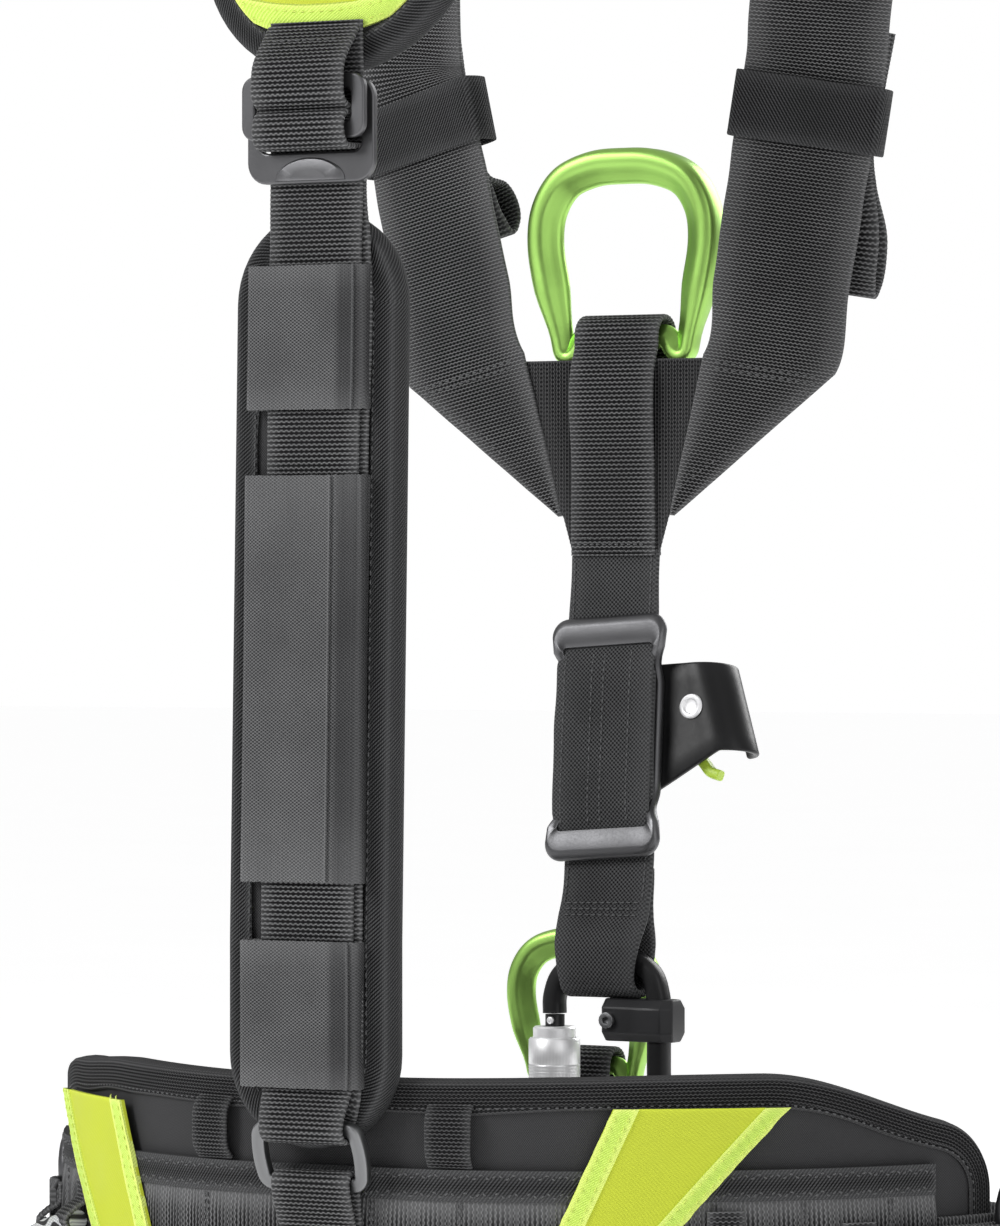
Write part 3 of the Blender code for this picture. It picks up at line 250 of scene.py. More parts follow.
def skin(name, rings, look, body, closed=False, sharp=40.0, places=None):
    """Skins rings of points. The last ring joins the first when closed, or both ends are capped.

    places holds each point's place on the cloth, with one ring more when closed.
    """
    size = len(rings[0])
    count = len(rings)
    if places is None:
        along = lengths_along([sum(ring, Vector()) / size for ring in rings], closed)
        around = lengths_along(rings[count // 2], True)
        # Both faces carry the same weave, with no seam.
        places = [[(length, abs(reach - around[-1] / 2)) for reach in around[:-1]] for length in along]
    faces = []
    corners = []
    for i in range(count if closed else count - 1):
        j = (i + 1) % count
        for k in range(size):
            n = (k + 1) % size
            faces.append((i * size + k, i * size + n, j * size + n, j * size + k))
            corners += [places[i][k], places[i][n], places[i + 1][n], places[i + 1][k]]
    if not closed:
        for i in (0, count - 1):
            faces.append(tuple(i * size + k for k in range(size)))
            corners += places[i]
    return new_piece(name, [p for ring in rings for p in ring], faces, look, body, corners, sharp)


def bevelled(piece, width=0.8, segments=3):
    """Rounds a hard piece's edges."""
    change = piece.modifiers.new("rounded_edges", "BEVEL")
    change.width = width * MM
    change.segments = segments
    change.limit_method = "ANGLE"
    change.angle_limit = math.radians(30)
    change.harden_normals = False
    return piece


class Strap:
    """Webbing along a line. at(length, across, out) is a place on it, out from its middle plane."""

    def __init__(self, line, across, width=WEBBING, thick=WEBBING_THICK, closed=False, spacing=0.58):
        count = len(line)
        ways = [Vector(v) for v in across] if isinstance(across, list) else [Vector(across)] * count
        widths = width if isinstance(width, list) else [width] * count
        self.line, ways, self.widths = smooth_line(line, spacing, closed, (ways, widths))
        self.thick = thick
        self.closed = closed
        self.lengths = lengths_along(self.line, closed)
        self.sides = []
        self.outs = []
        for along, way in zip(tangents(self.line, closed), ways):
            side = (way - along * way.dot(along)).normalized()
            self.sides.append(side)
            self.outs.append(along.cross(side))

    def at(self, length, across, out=0.0):
        low = step_at(self.lengths, length, len(self.line) - 1)
        high = low + 1
        t = (length - self.lengths[low]) / max(1e-6, self.lengths[low + 1] - self.lengths[low])
        place = self.line[low].lerp(self.line[high], t)
        return place + self.sides[low].lerp(self.sides[high], t) * across + self.outs[low] * out

    def length_near(self, point):
        """The length whose place on the strap lies nearest to a point."""
        point = Vector(point)
        best = min(range(len(self.line)), key=lambda i: (self.line[i] - point).length_squared)
        return self.lengths[best]

    def build(self, name, look, body="harness", rib=1.95, depth=0.13, wave=0.25, fray=0.0, slant=None):
        """A rib is one weft thread. wave is the slow unevenness of a strap's edges and faces.

        slant is (length, weave) for a strap that is cut on a slant up to a length: weave(point) is then a
        point's place on the cloth.
        """
        rings = []
        places = []
        seed = len(name) * 3.7 + ord(name[-1])
        for i, point in enumerate(self.line):
            u = self.lengths[i]
            swell = depth * math.cos(2 * math.pi * u / rib)
            loose = noise.noise(Vector((u * 0.035, seed, 0))) * wave
            width = self.widths[i] + noise.noise(Vector((u * 0.05, seed, 9))) * wave * 2 + swell * 1.4
            thick = self.thick + swell * 2
            width -= CHOICE.uniform(0, fray)
            section = rounded_section(width, thick, thick * 0.46, 2, 6)
            cup = [loose * (1 - (2 * x / width) ** 2) for x, _ in section]
            side = self.sides[i]
            out = self.outs[i]
            ring = [point + side * x + out * (y + c) for (x, y), c in zip(section, cup)]
            rings.append(ring)
            if slant and u < slant[0]:
                places.append([slant[1](spot) for spot in ring])
            else:
                places.append([(u, x) for x, _ in section])
        if self.closed:
            places.append([(self.lengths[-1], v) for _, v in places[0]])
        return skin(name, rings, look, body, self.closed, 60.0, places)


def threads(name, paths, look, body="harness", stitch=2.6, gap=1.0, radius=0.36, sink=0.12):
    """Stitches along paths on a surface: each is a short thread that dips at both ends."""
    vertices = []
    faces = []
    sides = 5
    for path, out in paths:
        line, = smooth_line(path, 0.7)
        marks = lengths_along(line)
        start = gap / 2
        step = 0
        while start + stitch < marks[-1]:
            places = []
            for share in (0.0, 0.22, 0.5, 0.78, 1.0):
                goal = start + stitch * share
                while step < len(marks) - 2 and marks[step + 1] < goal:
                    step += 1
                t = (goal - marks[step]) / max(1e-6, marks[step + 1] - marks[step])
                places.append(line[step].lerp(line[step + 1], t))
            way = (places[-1] - places[0]).normalized()
            up = Vector(out(places[2]) if callable(out) else out)
            up = (up - way * up.dot(way)).normalized()
            side = way.cross(up)
            base = len(vertices)
            for place, size, lift in zip(places, (0.35, 0.95, 1.1, 0.95, 0.35), (-1.2, 0.1, 0.5, 0.1, -1.2)):
                centre = place + up * (radius * lift - sink)
                for k in range(sides):
                    turn = 2 * math.pi * k / sides
                    vertices.append(centre + (side * math.cos(turn) + up * math.sin(turn)) * (radius * size))
            for i in range(4):
                for k in range(sides):
                    n = (k + 1) % sides
                    a = base + i * sides
                    faces.append((a + k, a + n, a + sides + n, a + sides + k))
            faces.append(tuple(base + k for k in range(sides)))
            faces.append(tuple(base + 4 * sides + k for k in range(sides)))
            start += stitch + gap
            step = max(0, step - 3)
    return new_piece(name, vertices, faces, look, body, None, 80.0)


def zigzag(along, low, high, pitch):
    """A zigzag between two heights, as (length, height) pairs."""
    points = []
    start, end = along
    steps = max(1, round((end - start) / pitch))
    for k in range(steps + 1):
        points.append((start + (end - start) * k / steps, low if k % 2 else high))
    return points


# ---- materials ----
class Look:
    """Builds a material's nodes. Any value may be a number, a colour or another node's output."""

    def __init__(self, name, **values):
        self.material = bpy.data.materials.new(name)
        self.material.use_nodes = True
        self.tree = self.material.node_tree
        self.shader = self.tree.nodes["Principled BSDF"]
        for socket, value in values.items():
            self.set(socket.replace("_", " "), value)

    def plug(self, socket, value):
        if isinstance(value, bpy.types.NodeSocket):
            self.tree.links.new(value, socket)
        elif isinstance(value, tuple) and len(value) == 3 and socket.type == "RGBA":
            socket.default_value = (*value, 1.0)
        else:
            socket.default_value = value

    def set(self, socket, value):
        self.plug(self.shader.inputs[socket], value)

    def math(self, operation, a, b=0.0, clamp=False):
        node = self.tree.nodes.new("ShaderNodeMath")
        node.operation = operation
        node.use_clamp = clamp
        self.plug(node.inputs[0], a)
        self.plug(node.inputs[1], b)
        return node.outputs[0]

    def times(self, a, b):
        return self.math("MULTIPLY", a, b)

    def plus(self, a, b, clamp=False):
        return self.math("ADD", a, b, clamp)

    def mix(self, factor, a, b):
        node = self.tree.nodes.new("ShaderNodeMix")
        node.data_type = "RGBA"
        self.plug(node.inputs[0], factor)
        self.plug(node.inputs[6], a)
        self.plug(node.inputs[7], b)
        return node.outputs[2]

    def own_place(self):
        """The place in the piece's own metres."""
        return self.tree.nodes.new("ShaderNodeTexCoord").outputs["Object"]

    def parts(self, place):
        node = self.tree.nodes.new("ShaderNodeSeparateXYZ")
        self.plug(node.inputs[0], place)
        return node.outputs

    def noise(self, scale, detail=2.0, stretch=(1.0, 1.0, 1.0)):
        """Noise of 0 to 1 in the piece's own metres."""
        mapping = self.tree.nodes.new("ShaderNodeMapping")
        self.plug(mapping.inputs["Vector"], self.own_place())
        mapping.inputs["Scale"].default_value = stretch
        node = self.tree.nodes.new("ShaderNodeTexNoise")
        self.plug(node.inputs["Vector"], mapping.outputs[0])
        node.inputs["Scale"].default_value = scale
        node.inputs["Detail"].default_value = detail
        return node.outputs["Fac"]

    def range(self, value, low, high, to_low=0.0, to_high=1.0):
        node = self.tree.nodes.new("ShaderNodeMapRange")
        self.plug(node.inputs["Value"], value)
        for socket, number in zip(node.inputs[1:5], (low, high, to_low, to_high)):
            socket.default_value = number
        return node.outputs[0]

    def cloth_place(self):
        """Millimetres along and across a woven piece."""
        node = self.tree.nodes.new("ShaderNodeUVMap")
        node.uv_map = "cloth"
        apart = self.parts(node.outputs[0])
        return [self.times(apart[i], 1 / MM) for i in (0, 1)]

    def body_place(self):
        """Millimetres up, and round the wearer, for a piece with no map of its own."""
        apart = self.parts(self.own_place())
        sideways = self.plus(self.math("ABSOLUTE", apart[0]), apart[1])
        return [self.times(value, 1 / MM) for value in (apart[2], sideways)]

    def rightwards(self):
        """Metres to the wearer's right."""
        return self.parts(self.own_place())[0]

    def wave(self, value, pitch, shift=0.0):
        """A wave of 0 to 1 along a value."""
        turns = self.plus(self.times(value, 2 * math.pi / pitch), shift)
        return self.plus(self.times(self.math("COSINE", turns), 0.5), 0.5)

    def bump(self, height, depth):
        """Raises the surface by up to depth millimetres."""
        node = self.tree.nodes.new("ShaderNodeBump")
        self.plug(node.inputs["Height"], height)
        node.inputs["Distance"].default_value = depth * MM
        self.set("Normal", node.outputs[0])

    def edges(self, low=0.50, high=0.56):
        """How far a place lies on an outer edge, 0 to 1."""
        node = self.tree.nodes.new("ShaderNodeNewGeometry")
        return self.range(node.outputs["Pointiness"], low, high)


def beads(look, along, across, rib, bead):
    """Rows of beads: each weft row is shifted by half a bead next to the last."""
    row = look.wave(along, rib)
    parity = look.times(look.math("FLOOR", look.math("DIVIDE", along, rib)), math.pi)
    dots = look.wave(across, bead, parity)
    return look.times(row, look.plus(look.times(dots, 0.85), 0.15))


def checks(look, along, across, rib, bead):
    """A plain weave: over and under in both directions."""
    a = look.math("COSINE", look.times(along, math.pi / rib))
    b = look.math("COSINE", look.times(across, math.pi / bead))
    return look.plus(look.times(look.times(a, b), 0.5), 0.5)


def twill(look, along, across, rib, bead):
    """Diagonal ridges, each broken into threads."""
    slant = look.plus(along, look.times(across, 0.8))
    ridge = look.wave(slant, rib)
    return look.times(ridge, look.plus(look.times(look.wave(across, bead), 0.4), 0.6))


def long_ribs(look, along, across, rib, bead):
    """Beads in columns that run along the webbing."""
    return beads(look, across, along, rib, bead)


def fabric(name, dark, light, weave, rib, bead, depth=0.22, mapped=True, roughness=0.82, fuzz=0.07,
           shine=0.12, shade_from=None):
    """Woven cloth: a pattern of threads, slow colour change, fuzz and paler worn edges.

    It is darker past shade_from, a distance in millimetres to the wearer's right: painted shade where the
    cloth bends away from the light.
    """
    look = Look(name)
    look.set("Specular IOR Level", shine)
    along, across = look.cloth_place() if mapped else look.body_place()
    threads_height = weave(look, along, across, rib, bead)
    uneven = look.noise(38, 3)
    fibres = look.noise(2600, 2)
    share = look.times(look.range(threads_height, 0.18, 0.8), look.range(uneven, 0.3, 0.7, 0.72, 1.0))
    share = look.plus(share, look.range(fibres, 0.55, 0.8, 0.0, fuzz), True)
    if shade_from is not None:
        # Painted shade: the cloth darkens towards the wearer's right, where the wrap bends round the webbing
        # away from the light.
        start = shade_from * MM
        share = look.times(share, look.range(look.rightwards(), start, start + 0.003, 1.0, 0.42))
    cloth = look.mix(share, dark, light)
    worn = tuple(min(1.0, c * 1.5 + 0.012) for c in light)
    look.set("Base Color", look.mix(look.times(look.edges(), 0.35), cloth, worn))
    look.set("Roughness", look.range(uneven, 0.3, 0.7, roughness - 0.06, min(1.0, roughness + 0.08)))
    look.bump(look.plus(threads_height, look.times(fibres, fuzz)), depth)
    return look.material


def metal(name, colour, roughness, metallic=1.0, edge=1.5, grain=900, depth=0.02, stretch=(1, 1, 1),
          shine=0.5):
    """Finished metal: fine grain, soft stains in its gloss, and brighter edges."""
    look = Look(name, Metallic=metallic)
    look.set("Specular IOR Level", shine)
    stain = look.noise(30, 4)
    fine = look.noise(grain, 3, stretch)
    shade = look.mix(look.range(stain, 0.35, 0.65), tuple(c * 0.9 for c in colour), colour)
    bright = tuple(min(1.0, c * edge + 0.01) for c in colour)
    look.set("Base Color", look.mix(look.times(look.edges(0.5, 0.58), 0.8), shade, bright))
    look.set("Roughness", look.plus(look.range(stain, 0.3, 0.7, roughness - 0.05, roughness + 0.05),
                                    look.range(fine, 0.4, 0.7, 0.0, 0.05)))
    look.bump(fine, depth)
    return look.material


def loop_cover(name):
    """Pale tubular webbing with a dark wavy line woven in."""
    look = Look(name, Roughness=0.8)
    along, across = look.cloth_place()
    bend = look.times(look.wave(along, 9.0), 4.2)
    line = look.wave(look.plus(across, bend), 6.4)
    dark_line = look.range(line, 0.62, 0.75)
    weave = checks(look, along, across, 0.8, 0.8)
    pale = look.mix(weave, (0.30, 0.31, 0.32), (0.62, 0.63, 0.64))
    look.set("Base Color", look.mix(dark_line, pale, (0.02, 0.02, 0.022)))
    look.bump(look.plus(weave, look.noise(1800, 2)), 0.2)
    return look.material


def floor_look(name):
    look = Look(name, Roughness=0.75, Emission_Strength=0.5)
    look.set("Emission Color", (1.0, 1.0, 1.0))
    look.set("Base Color", look.mix(look.noise(3, 3), (0.86, 0.86, 0.86), (0.90, 0.90, 0.90)))
    look.bump(look.noise(160, 3), 0.05)
    return look.material


DARK = (0.003, 0.003, 0.0034)
WEBBING_LOOK = fabric("harness_webbing", DARK, (0.165, 0.166, 0.169), beads, 1.95, 2.5, 0.3)
WIDE_LOOK = fabric("shoulder_webbing", DARK, (0.200, 0.201, 0.204), beads, 1.6, 2.1, 0.3)
DIM_LOOK = fabric("loop_webbing", DARK, (0.100, 0.101, 0.103), beads, 1.6, 2.1, 0.3)
SMOOTH_LOOK = fabric("soft_webbing", DARK, (0.088, 0.088, 0.090), long_ribs, 1.5, 1.9, 0.3)
TWILL_LOOK = fabric("twill_binding", DARK, (0.074, 0.075, 0.077), twill, 1.7, 1.1, 0.35)
COVER_LOOK = fabric("strap_cover", DARK, (0.088, 0.089, 0.091), checks, 1.0, 1.0, 0.4)
PAD_LOOK = fabric("pad_fabric", (0.022, 0.022, 0.023), (0.062, 0.062, 0.064), checks, 0.6, 0.6, 0.1,
                  False, 0.88)
LINING_LOOK = fabric("pad_lining", DARK, (0.068, 0.069, 0.073), beads, 2.2, 2.2, 0.5, False, 0.9)
# The wrap cloth carries painted shade past 12 mm to the wearer's right.
WRAP_LOOK = fabric("wrap_fabric", (0.016, 0.016, 0.017), (0.150, 0.151, 0.154), checks, 1.0, 0.7, 0.35,
                   True, 0.95, 0.15, shade_from=12.0)
NEON_LOOK = fabric("neon_cloth", (0.42, 0.48, 0.024), (0.50, 0.575, 0.036), checks, 0.7, 0.7, 0.1,
                   True, 0.62, 0.1, 0.3)
TAPE_LOOK = fabric("neon_tape", (0.46, 0.66, 0.09), (0.70, 0.90, 0.20), twill, 1.5, 1.0, 0.25,
                   True, 0.6, 0.1)
THREAD_LOOK = fabric("black_thread", (0.02, 0.02, 0.021), (0.13, 0.131, 0.134), twill, 0.5, 0.5, 0.1,
                     False, 0.6)
NEON_THREAD_LOOK = fabric("neon_thread", (0.40, 0.56, 0.05), (0.62, 0.80, 0.18), twill, 0.5, 0.5, 0.1,
                          False, 0.6)
LOOP_LOOK = loop_cover("gear_loop_cover")
DARK_METAL_LOOK = metal("dark_satin_metal", (0.048, 0.048, 0.050), 0.38, 0.9, 4.5)
LINK_METAL_LOOK = metal("blasted_metal", (0.17, 0.172, 0.176), 0.42, 1.0, 2.0, 1600, 0.04)
BLACK_METAL_LOOK = metal("black_gloss_metal", (0.006, 0.006, 0.0065), 0.36, 0.0, 3.0, 500, 0.015, shine=0.25)
GREEN_METAL_LOOK = metal("lime_anodised", (0.30, 0.52, 0.12), 0.38, 1.0, 1.5, 1400, 0.012)
SILVER_LOOK = metal("satin_silver", (0.82, 0.82, 0.83), 0.42, 0.6, 1.1, 900, 0.02, (1, 1, 14))
CLIP_LOOK = metal("black_clip_plastic", (0.010, 0.010, 0.011), 0.4, 0.0, 2.5, 2200, 0.05, shine=0.3)
CATCH_LOOK = metal("green_catch_plastic", (0.42, 0.60, 0.05), 0.42, 0.0, 1.2, 2200, 0.04)

SLOTS = {
    "pad_fabric": "black_fabric",
    "pad_lining": "black_fabric",
    "twill_binding": "black_fabric",
    "wrap_fabric": "grey_wrap",
    "neon_cloth": "neon_fabric",
    "neon_tape": "neon_fabric",
    "neon_thread": "neon_fabric",
    "gear_loop_cover": "loop_fabric",
    "dark_satin_metal": "satin_dark_metal",
    "blasted_metal": "satin_dark_metal",
    "black_gloss_metal": "black_metal",
    "lime_anodised": "green_metal",
    "satin_silver": "silver_metal",
    "black_clip_plastic": "black_plastic",
    "green_catch_plastic": "green_plastic",
}


# ---- padded fabric ----
CLOTH_FRAMES = 20


def evaluated_copy(piece):
    bpy.context.view_layer.update()
    return bpy.data.meshes.new_from_object(piece.evaluated_get(bpy.context.evaluated_depsgraph_get()))


def apply_modifiers(piece):
    shaped = evaluated_copy(piece)
    piece.modifiers.clear()
    piece.data = shaped


def local(point):
    """Millimetres from the belt's centre, for a point in the frame's metres."""
    return point / MM - BELT_CENTRE


def swell(piece, is_outer, outer_cap, inner_cap, pressure=4.0):
    """Blows a closed form up as cloth. How far it may swell differs between its outer face and the rest."""
    rest = [vertex.co.copy() for vertex in piece.data.vertices]
    caps = [outer_cap if is_outer(local(v.co), v.normal) else inner_cap for v in piece.data.vertices]
    cloth = piece.modifiers.new("air", "CLOTH")
    cloth.settings.quality = 4
    cloth.settings.use_pressure = True
    cloth.settings.uniform_pressure_force = pressure
    cloth.settings.effector_weights.gravity = 0
    cloth.point_cache.frame_start = 1
    cloth.point_cache.frame_end = CLOTH_FRAMES
    for step in range(1, CLOTH_FRAMES + 1):
        bpy.context.scene.frame_set(step)
    blown = evaluated_copy(piece)
    places = [vertex.co.copy() for vertex in blown.vertices]
    piece.modifiers.clear()
    bpy.data.meshes.remove(blown)
    for vertex, start, place, cap in zip(piece.data.vertices, rest, places, caps):
        move = place - start
        limit = cap * MM
        vertex.co = start + (move * (limit / move.length) if move.length > limit else move)
    bpy.context.scene.frame_set(1)


def padded(name, rings, look, lining, body, is_outer, outer_cap, inner_cap, channels=None, voxel=4.5):
    """A pad: a closed form that is remeshed, blown up as cloth, sewn in channels, and subdivided once."""
    piece = skin(name, rings, look, None)
    remesh = piece.modifiers.new("even_faces", "REMESH")
    remesh.mode = "VOXEL"
    remesh.voxel_size = voxel * MM
    apply_modifiers(piece)
    swell(piece, is_outer, outer_cap, inner_cap)
    if channels:
        for vertex in piece.data.vertices:
            place = local(vertex.co)
            if not is_outer(place, vertex.normal):
                vertex.co -= vertex.normal * (channels(place) * MM)
    piece.modifiers.new("smooth_cloth", "SUBSURF").levels = 1
    piece.modifiers["smooth_cloth"].render_levels = 1
    apply_modifiers(piece)
    piece.data.materials.clear()
    piece.data.materials.append(look)
    piece.data.materials.append(lining)
    for face in piece.data.polygons:
        face.material_index = 0 if is_outer(local(face.center), face.normal) else 1
        face.use_smooth = True
    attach(piece, body)
    return piece


def groove(distance, depth, width):
    return depth * math.exp(-((distance / width) ** 2))


def binding_profile(width, thick, ridges):
    """Section of a binding tape, as (inset from the rim, out): round the rim and flat on both faces."""
    steps = round(width / 0.55) if ridges else 6
    profile = []
    for k in range(steps + 1):
        inset = width * (1 - k / steps)
        drop = 0.7 if k == 0 else 0.0
        profile.append((inset, 1.3 + 0.16 * (k % 2) * ridges - drop))
    profile += [(-1.0, 0.2), (-1.8, -thick * 0.25), (-2.1, -thick * 0.5), (-1.8, -thick * 0.75)]
    profile += [(-1.0, -thick - 0.2), (0.6, -thick - 1.2), (width / 2, -thick - 1.4), (width, -thick - 1.0)]
    profile += [(width, -thick), (1.6, -thick + 0.8), (1.2, -thick / 2), (1.6, -0.8), (width, 0.0)]
    return profile


def even_rim(points, spacing):
    """Points at even spacing round a closed flat outline, each with the way inwards."""
    line = [Vector((a, b, 0)) for a, b in points]
    marks = lengths_along(line, True)
    count = round(marks[-1] / spacing)
    spread = []
    i = 0
    for k in range(count):
        goal = marks[-1] * k / count
        while marks[i + 1] < goal:
            i += 1
        t = (goal - marks[i]) / max(1e-6, marks[i + 1] - marks[i])
        spread.append(line[i].lerp(line[(i + 1) % len(line)], t))
    ways = tangents(spread, True)
    turn = sum(a.cross(b).z for a, b in zip(ways, ways[1:]))
    sign = 1 if turn > 0 else -1
    return [(p, Vector((-w.y, w.x, 0)) * sign) for p, w in zip(spread, ways)]


def bind_rim(name, rim, place, thick, width, look, body="harness", ridges=0, loose=0.5):
    """Tape folded over the whole rim of a pad. place(a, b, out) gives a point on the pad's outer face."""
    profile = binding_profile(width, thick, ridges)
    rings = []
    for k, (point, inwards) in enumerate(rim):
        slack = 1 + loose * noise.noise(Vector((k * 0.06, width, 3.3))) / width * 2
        ring = []
        for inset, out in profile:
            spot = point + inwards * (inset * (slack if inset > width * 0.8 else 1))
            ring.append(place(spot.x, spot.y, out))
        rings.append(ring)
    return skin(name, rings, look, body, True, 60.0)


def rim_path(rim, place, inset, out):
    """A closed stitch path at an even distance from a rim."""
    spots = [point + inwards * inset for point, inwards in rim[::4]]
    path = [place(spot.x, spot.y, out) for spot in spots]
    return path + path[:1]


# ---- waist belt ----
def belt_loop():
    """The belt's closed plan, starting at the front middle and running round the wearer's left and back."""
    half = BELT_PLAN + FRONT_PLAN
    left = [(-x, y, 0) for x, y in reversed(half[1:])]
    right = [(x, y, 0) for x, y in half[:-1]]
    return curve_through(left + right, steps=8, closed=True)


BELT_LINE = belt_loop()
BELT_MARKS = lengths_along(BELT_LINE, True)
BELT_LENGTH = BELT_MARKS[-1]


def belt_point(s, z, off):
    """A point at arc length s from the middle of the back, standing off the pad's outer face."""
    left = (s + BELT_LENGTH / 2) % BELT_LENGTH
    count = len(BELT_LINE)
    low = step_at(BELT_MARKS, left, count)
    a = BELT_LINE[low]
    b = BELT_LINE[(low + 1) % count]
    before = (a - BELT_LINE[low - 1]).normalized()
    here = (b - a).normalized()
    after = (BELT_LINE[(low + 2) % count] - b).normalized()
    t = (left - BELT_MARKS[low]) / (BELT_MARKS[low + 1] - BELT_MARKS[low])
    along = ((before + here) * (1 - t) + (here + after) * t).normalized()
    return a.lerp(b, t) + Vector((along.y, -along.x, 0)) * off + Vector((0, 0, z))


def belt_along(s):
    return (belt_point(s + 1, 0, 0) - belt_point(s - 1, 0, 0)).normalized()


def belt_out(s):
    along = belt_along(s)
    return Vector((along.y, -along.x, 0))


def belt_length_at(x_wanted):
    s = 0.0
    while belt_point(s, 0, 0).x < x_wanted:
        s += 0.5
    return s


def pad_edges(s):
    """The pad's bottom and top at an arc length, with a rounded corner at each end."""
    far = ease((abs(s) - 190) / (PAD_END - 190))
    top = PAD_TOP_MIDDLE + 2.5 * ease(abs(s) / 190) + (PAD_TOP_END - PAD_TOP_MIDDLE - 2.5) * far
    bottom = PAD_BOTTOM_MIDDLE + (PAD_BOTTOM_END - PAD_BOTTOM_MIDDLE) * ease((abs(s) - 90) / (PAD_END - 90))
    top -= 2.0 + 3.0 * ease((-s - 130) / 60)  # the left wing sags a little more than the right one
    past = max(0.0, abs(s) - (PAD_END - PAD_CORNER))
    inset = PAD_CORNER - math.sqrt(max(0.0, PAD_CORNER**2 - past**2))
    return bottom + inset, top - inset


def belt_rim():
    """The pad's rim as (length, height) pairs."""
    reach = PAD_END - PAD_CORNER
    ends = [reach + PAD_CORNER * math.sin(math.radians(turn)) for turn in range(6, 91, 6)]
    stations = [-s for s in reversed(ends)] + span(-reach, reach, 4.0) + ends
    top = [(s, pad_edges(s)[1]) for s in stations]
    bottom = [(s, pad_edges(s)[0]) for s in reversed(stations)]
    return even_rim(top + bottom, 2.4)


def belt_body():
    """The foam body: plain cloth outside and an airy quilted lining inside."""
    rings = []
    ends = [PAD_END - d for d in (2.0, 4.0, 8.0, 15.0, PAD_CORNER)]
    straight = PAD_END - PAD_CORNER - 12.0
    for s in sorted([-s for s in ends] + span(-straight, straight, 10.0) + ends):
        low, high = pad_edges(s)
        section = rounded_section(PAD_THICK - 2.4, high - low - 3.0, 4.0)
        rings.append([belt_point(s, (low + high) / 2 + z, x - PAD_THICK / 2) for x, z in section])

    def is_outer(place, normal):
        return place.x * normal.x + place.y * normal.y > 0

    def channels(place):
        return groove(min(abs(place.z - z) for z in (-42.0, -14.0, 14.0, 42.0)), 2.2, 2.6)

    body = padded("belt_body", rings, PAD_LOOK, LINING_LOOK, "harness", is_outer, 1.0, 3.5, channels)
    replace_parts(body, "lumbar_pad")


def belt_edge():
    rim = belt_rim()
    bind_rim("belt_binding", rim, belt_point, PAD_THICK, 12.0, SMOOTH_LOOK, "harness", 1, 0.8)
    paths = [(rim_path(rim, belt_point, 10.2, 1.35), outwards)]
    threads("belt_binding_stitches", paths, THREAD_LOOK, "harness", 2.2, 1.4)


TRIM_LOW = 33.0
TRIM_OUT = 3.3
BARTACKS = (22, 62, 168, 206, 246)  # lengths from the back, where the lower band is sewn down


def belt_sheet(name, s_range, z_range, out, look, step=1.0, rows=6, wave=0.0):
    """Flat fabric that follows the belt. out(s, z) is its outer face, off the pad."""
    rings = []
    low, high = z_range
    for s in span(*s_range, step):
        heights = [low + (high - low) * k / rows for k in range(rows + 1)]
        loose = [noise.noise(Vector((s * 0.06, z * 0.05, 4.0))) * wave for z in heights]
        front = [belt_point(s, z, out(s, z) + shift) for z, shift in zip(heights, loose)]
        back = [belt_point(s, z, 0.3) for z in reversed(heights)]
        rings.append(front + back)
    return skin(name, rings, look, "harness", False, 50.0)


def band_out(s, z):
    """The lower band bulges between its bartacks, clear of the panels that lie on it."""
    near = min(abs(abs(s) - tack) for tack in BARTACKS)
    free = 1.0 if abs(s) > 168 or abs(s) < BARTACKS[0] else 0.0
    rib = 0.16 * math.cos(2 * math.pi * s / 2.2)
    lie = (z - BAND_BOTTOM) / (TRIM_LOW - BAND_BOTTOM)
    edge = min(1.0, min(lie, 1 - lie) * 9)
    return 2.3 + 0.8 * edge + rib + free * 1.4 * ease(near / 14) * math.sin(math.pi * min(1, max(0, lie)))


def belt_bands():
    """The trim tape, the ribbed band with its bartacks, and their stitches."""
    ends = (-BAND_END, BAND_END)
    heights = (BAND_BOTTOM, TRIM_LOW)
    band = belt_sheet("belt_band_weave", ends, heights, band_out, WEBBING_LOOK, 0.55)
    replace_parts(band, "belt_band")
    heights = (TRIM_LOW - 1, BAND_TOP)
    belt_sheet("belt_trim", ends, heights, lambda s, z: TRIM_OUT, TWILL_LOOK, 1.6, 4, 0.25)
    paths = []
    for low, high in ((BAND_TOP - 3.6, BAND_TOP - 1.8), (TRIM_LOW + 0.6, TRIM_LOW + 2.6)):
        path = [belt_point(s, z, TRIM_OUT + 0.15) for s, z in zigzag(ends, low, high, 3.4)]
        paths.append((path, outwards))
    for s in [side * tack for side in (-1, 1) for tack in BARTACKS]:
        for shift in (-0.8, 0.8):
            heights = span(BAND_BOTTOM + 2, TRIM_LOW - 2, 6.0)
            paths.append(([belt_point(s + shift, z, 3.35) for z in heights], outwards))
    low_path = [belt_point(s, BAND_BOTTOM + 1.5, 3.4) for s in span(*ends, 6.0)]
    paths.append((low_path, outwards))
    threads("belt_band_stitches", paths, THREAD_LOOK, "harness", 2.2, 1.0, 0.42)


def panel_edge(z, top, middle, bottom):
    """Arc length of a neon panel's edge: a parabola through its values at three heights."""
    heights = (70.0, 21.6, -60.0)
    values = (top, middle, bottom)
    total = 0.0
    for i in range(3):
        part = values[i]
        for j in range(3):
            if j != i:
                part *= (z - heights[j]) / (heights[i] - heights[j])
        total += part
    return total


PANEL_IN = 3.8
PANEL_THICK = 2.0
PANEL_TAPE = 10.5
NEON_INNER = (125, 103, 66)  # lengths of a panel's edge nearest the back, from its top to its bottom
NEON_OUTER = {1: (198, 153, 85), -1: (206, 166, 87)}
NEON_TOP = {1: 71.0, -1: 66.5}
NEON_LOW = -62.0


def panel_sides(z, side):
    return panel_edge(z, *NEON_INNER), panel_edge(z, *NEON_OUTER[side])


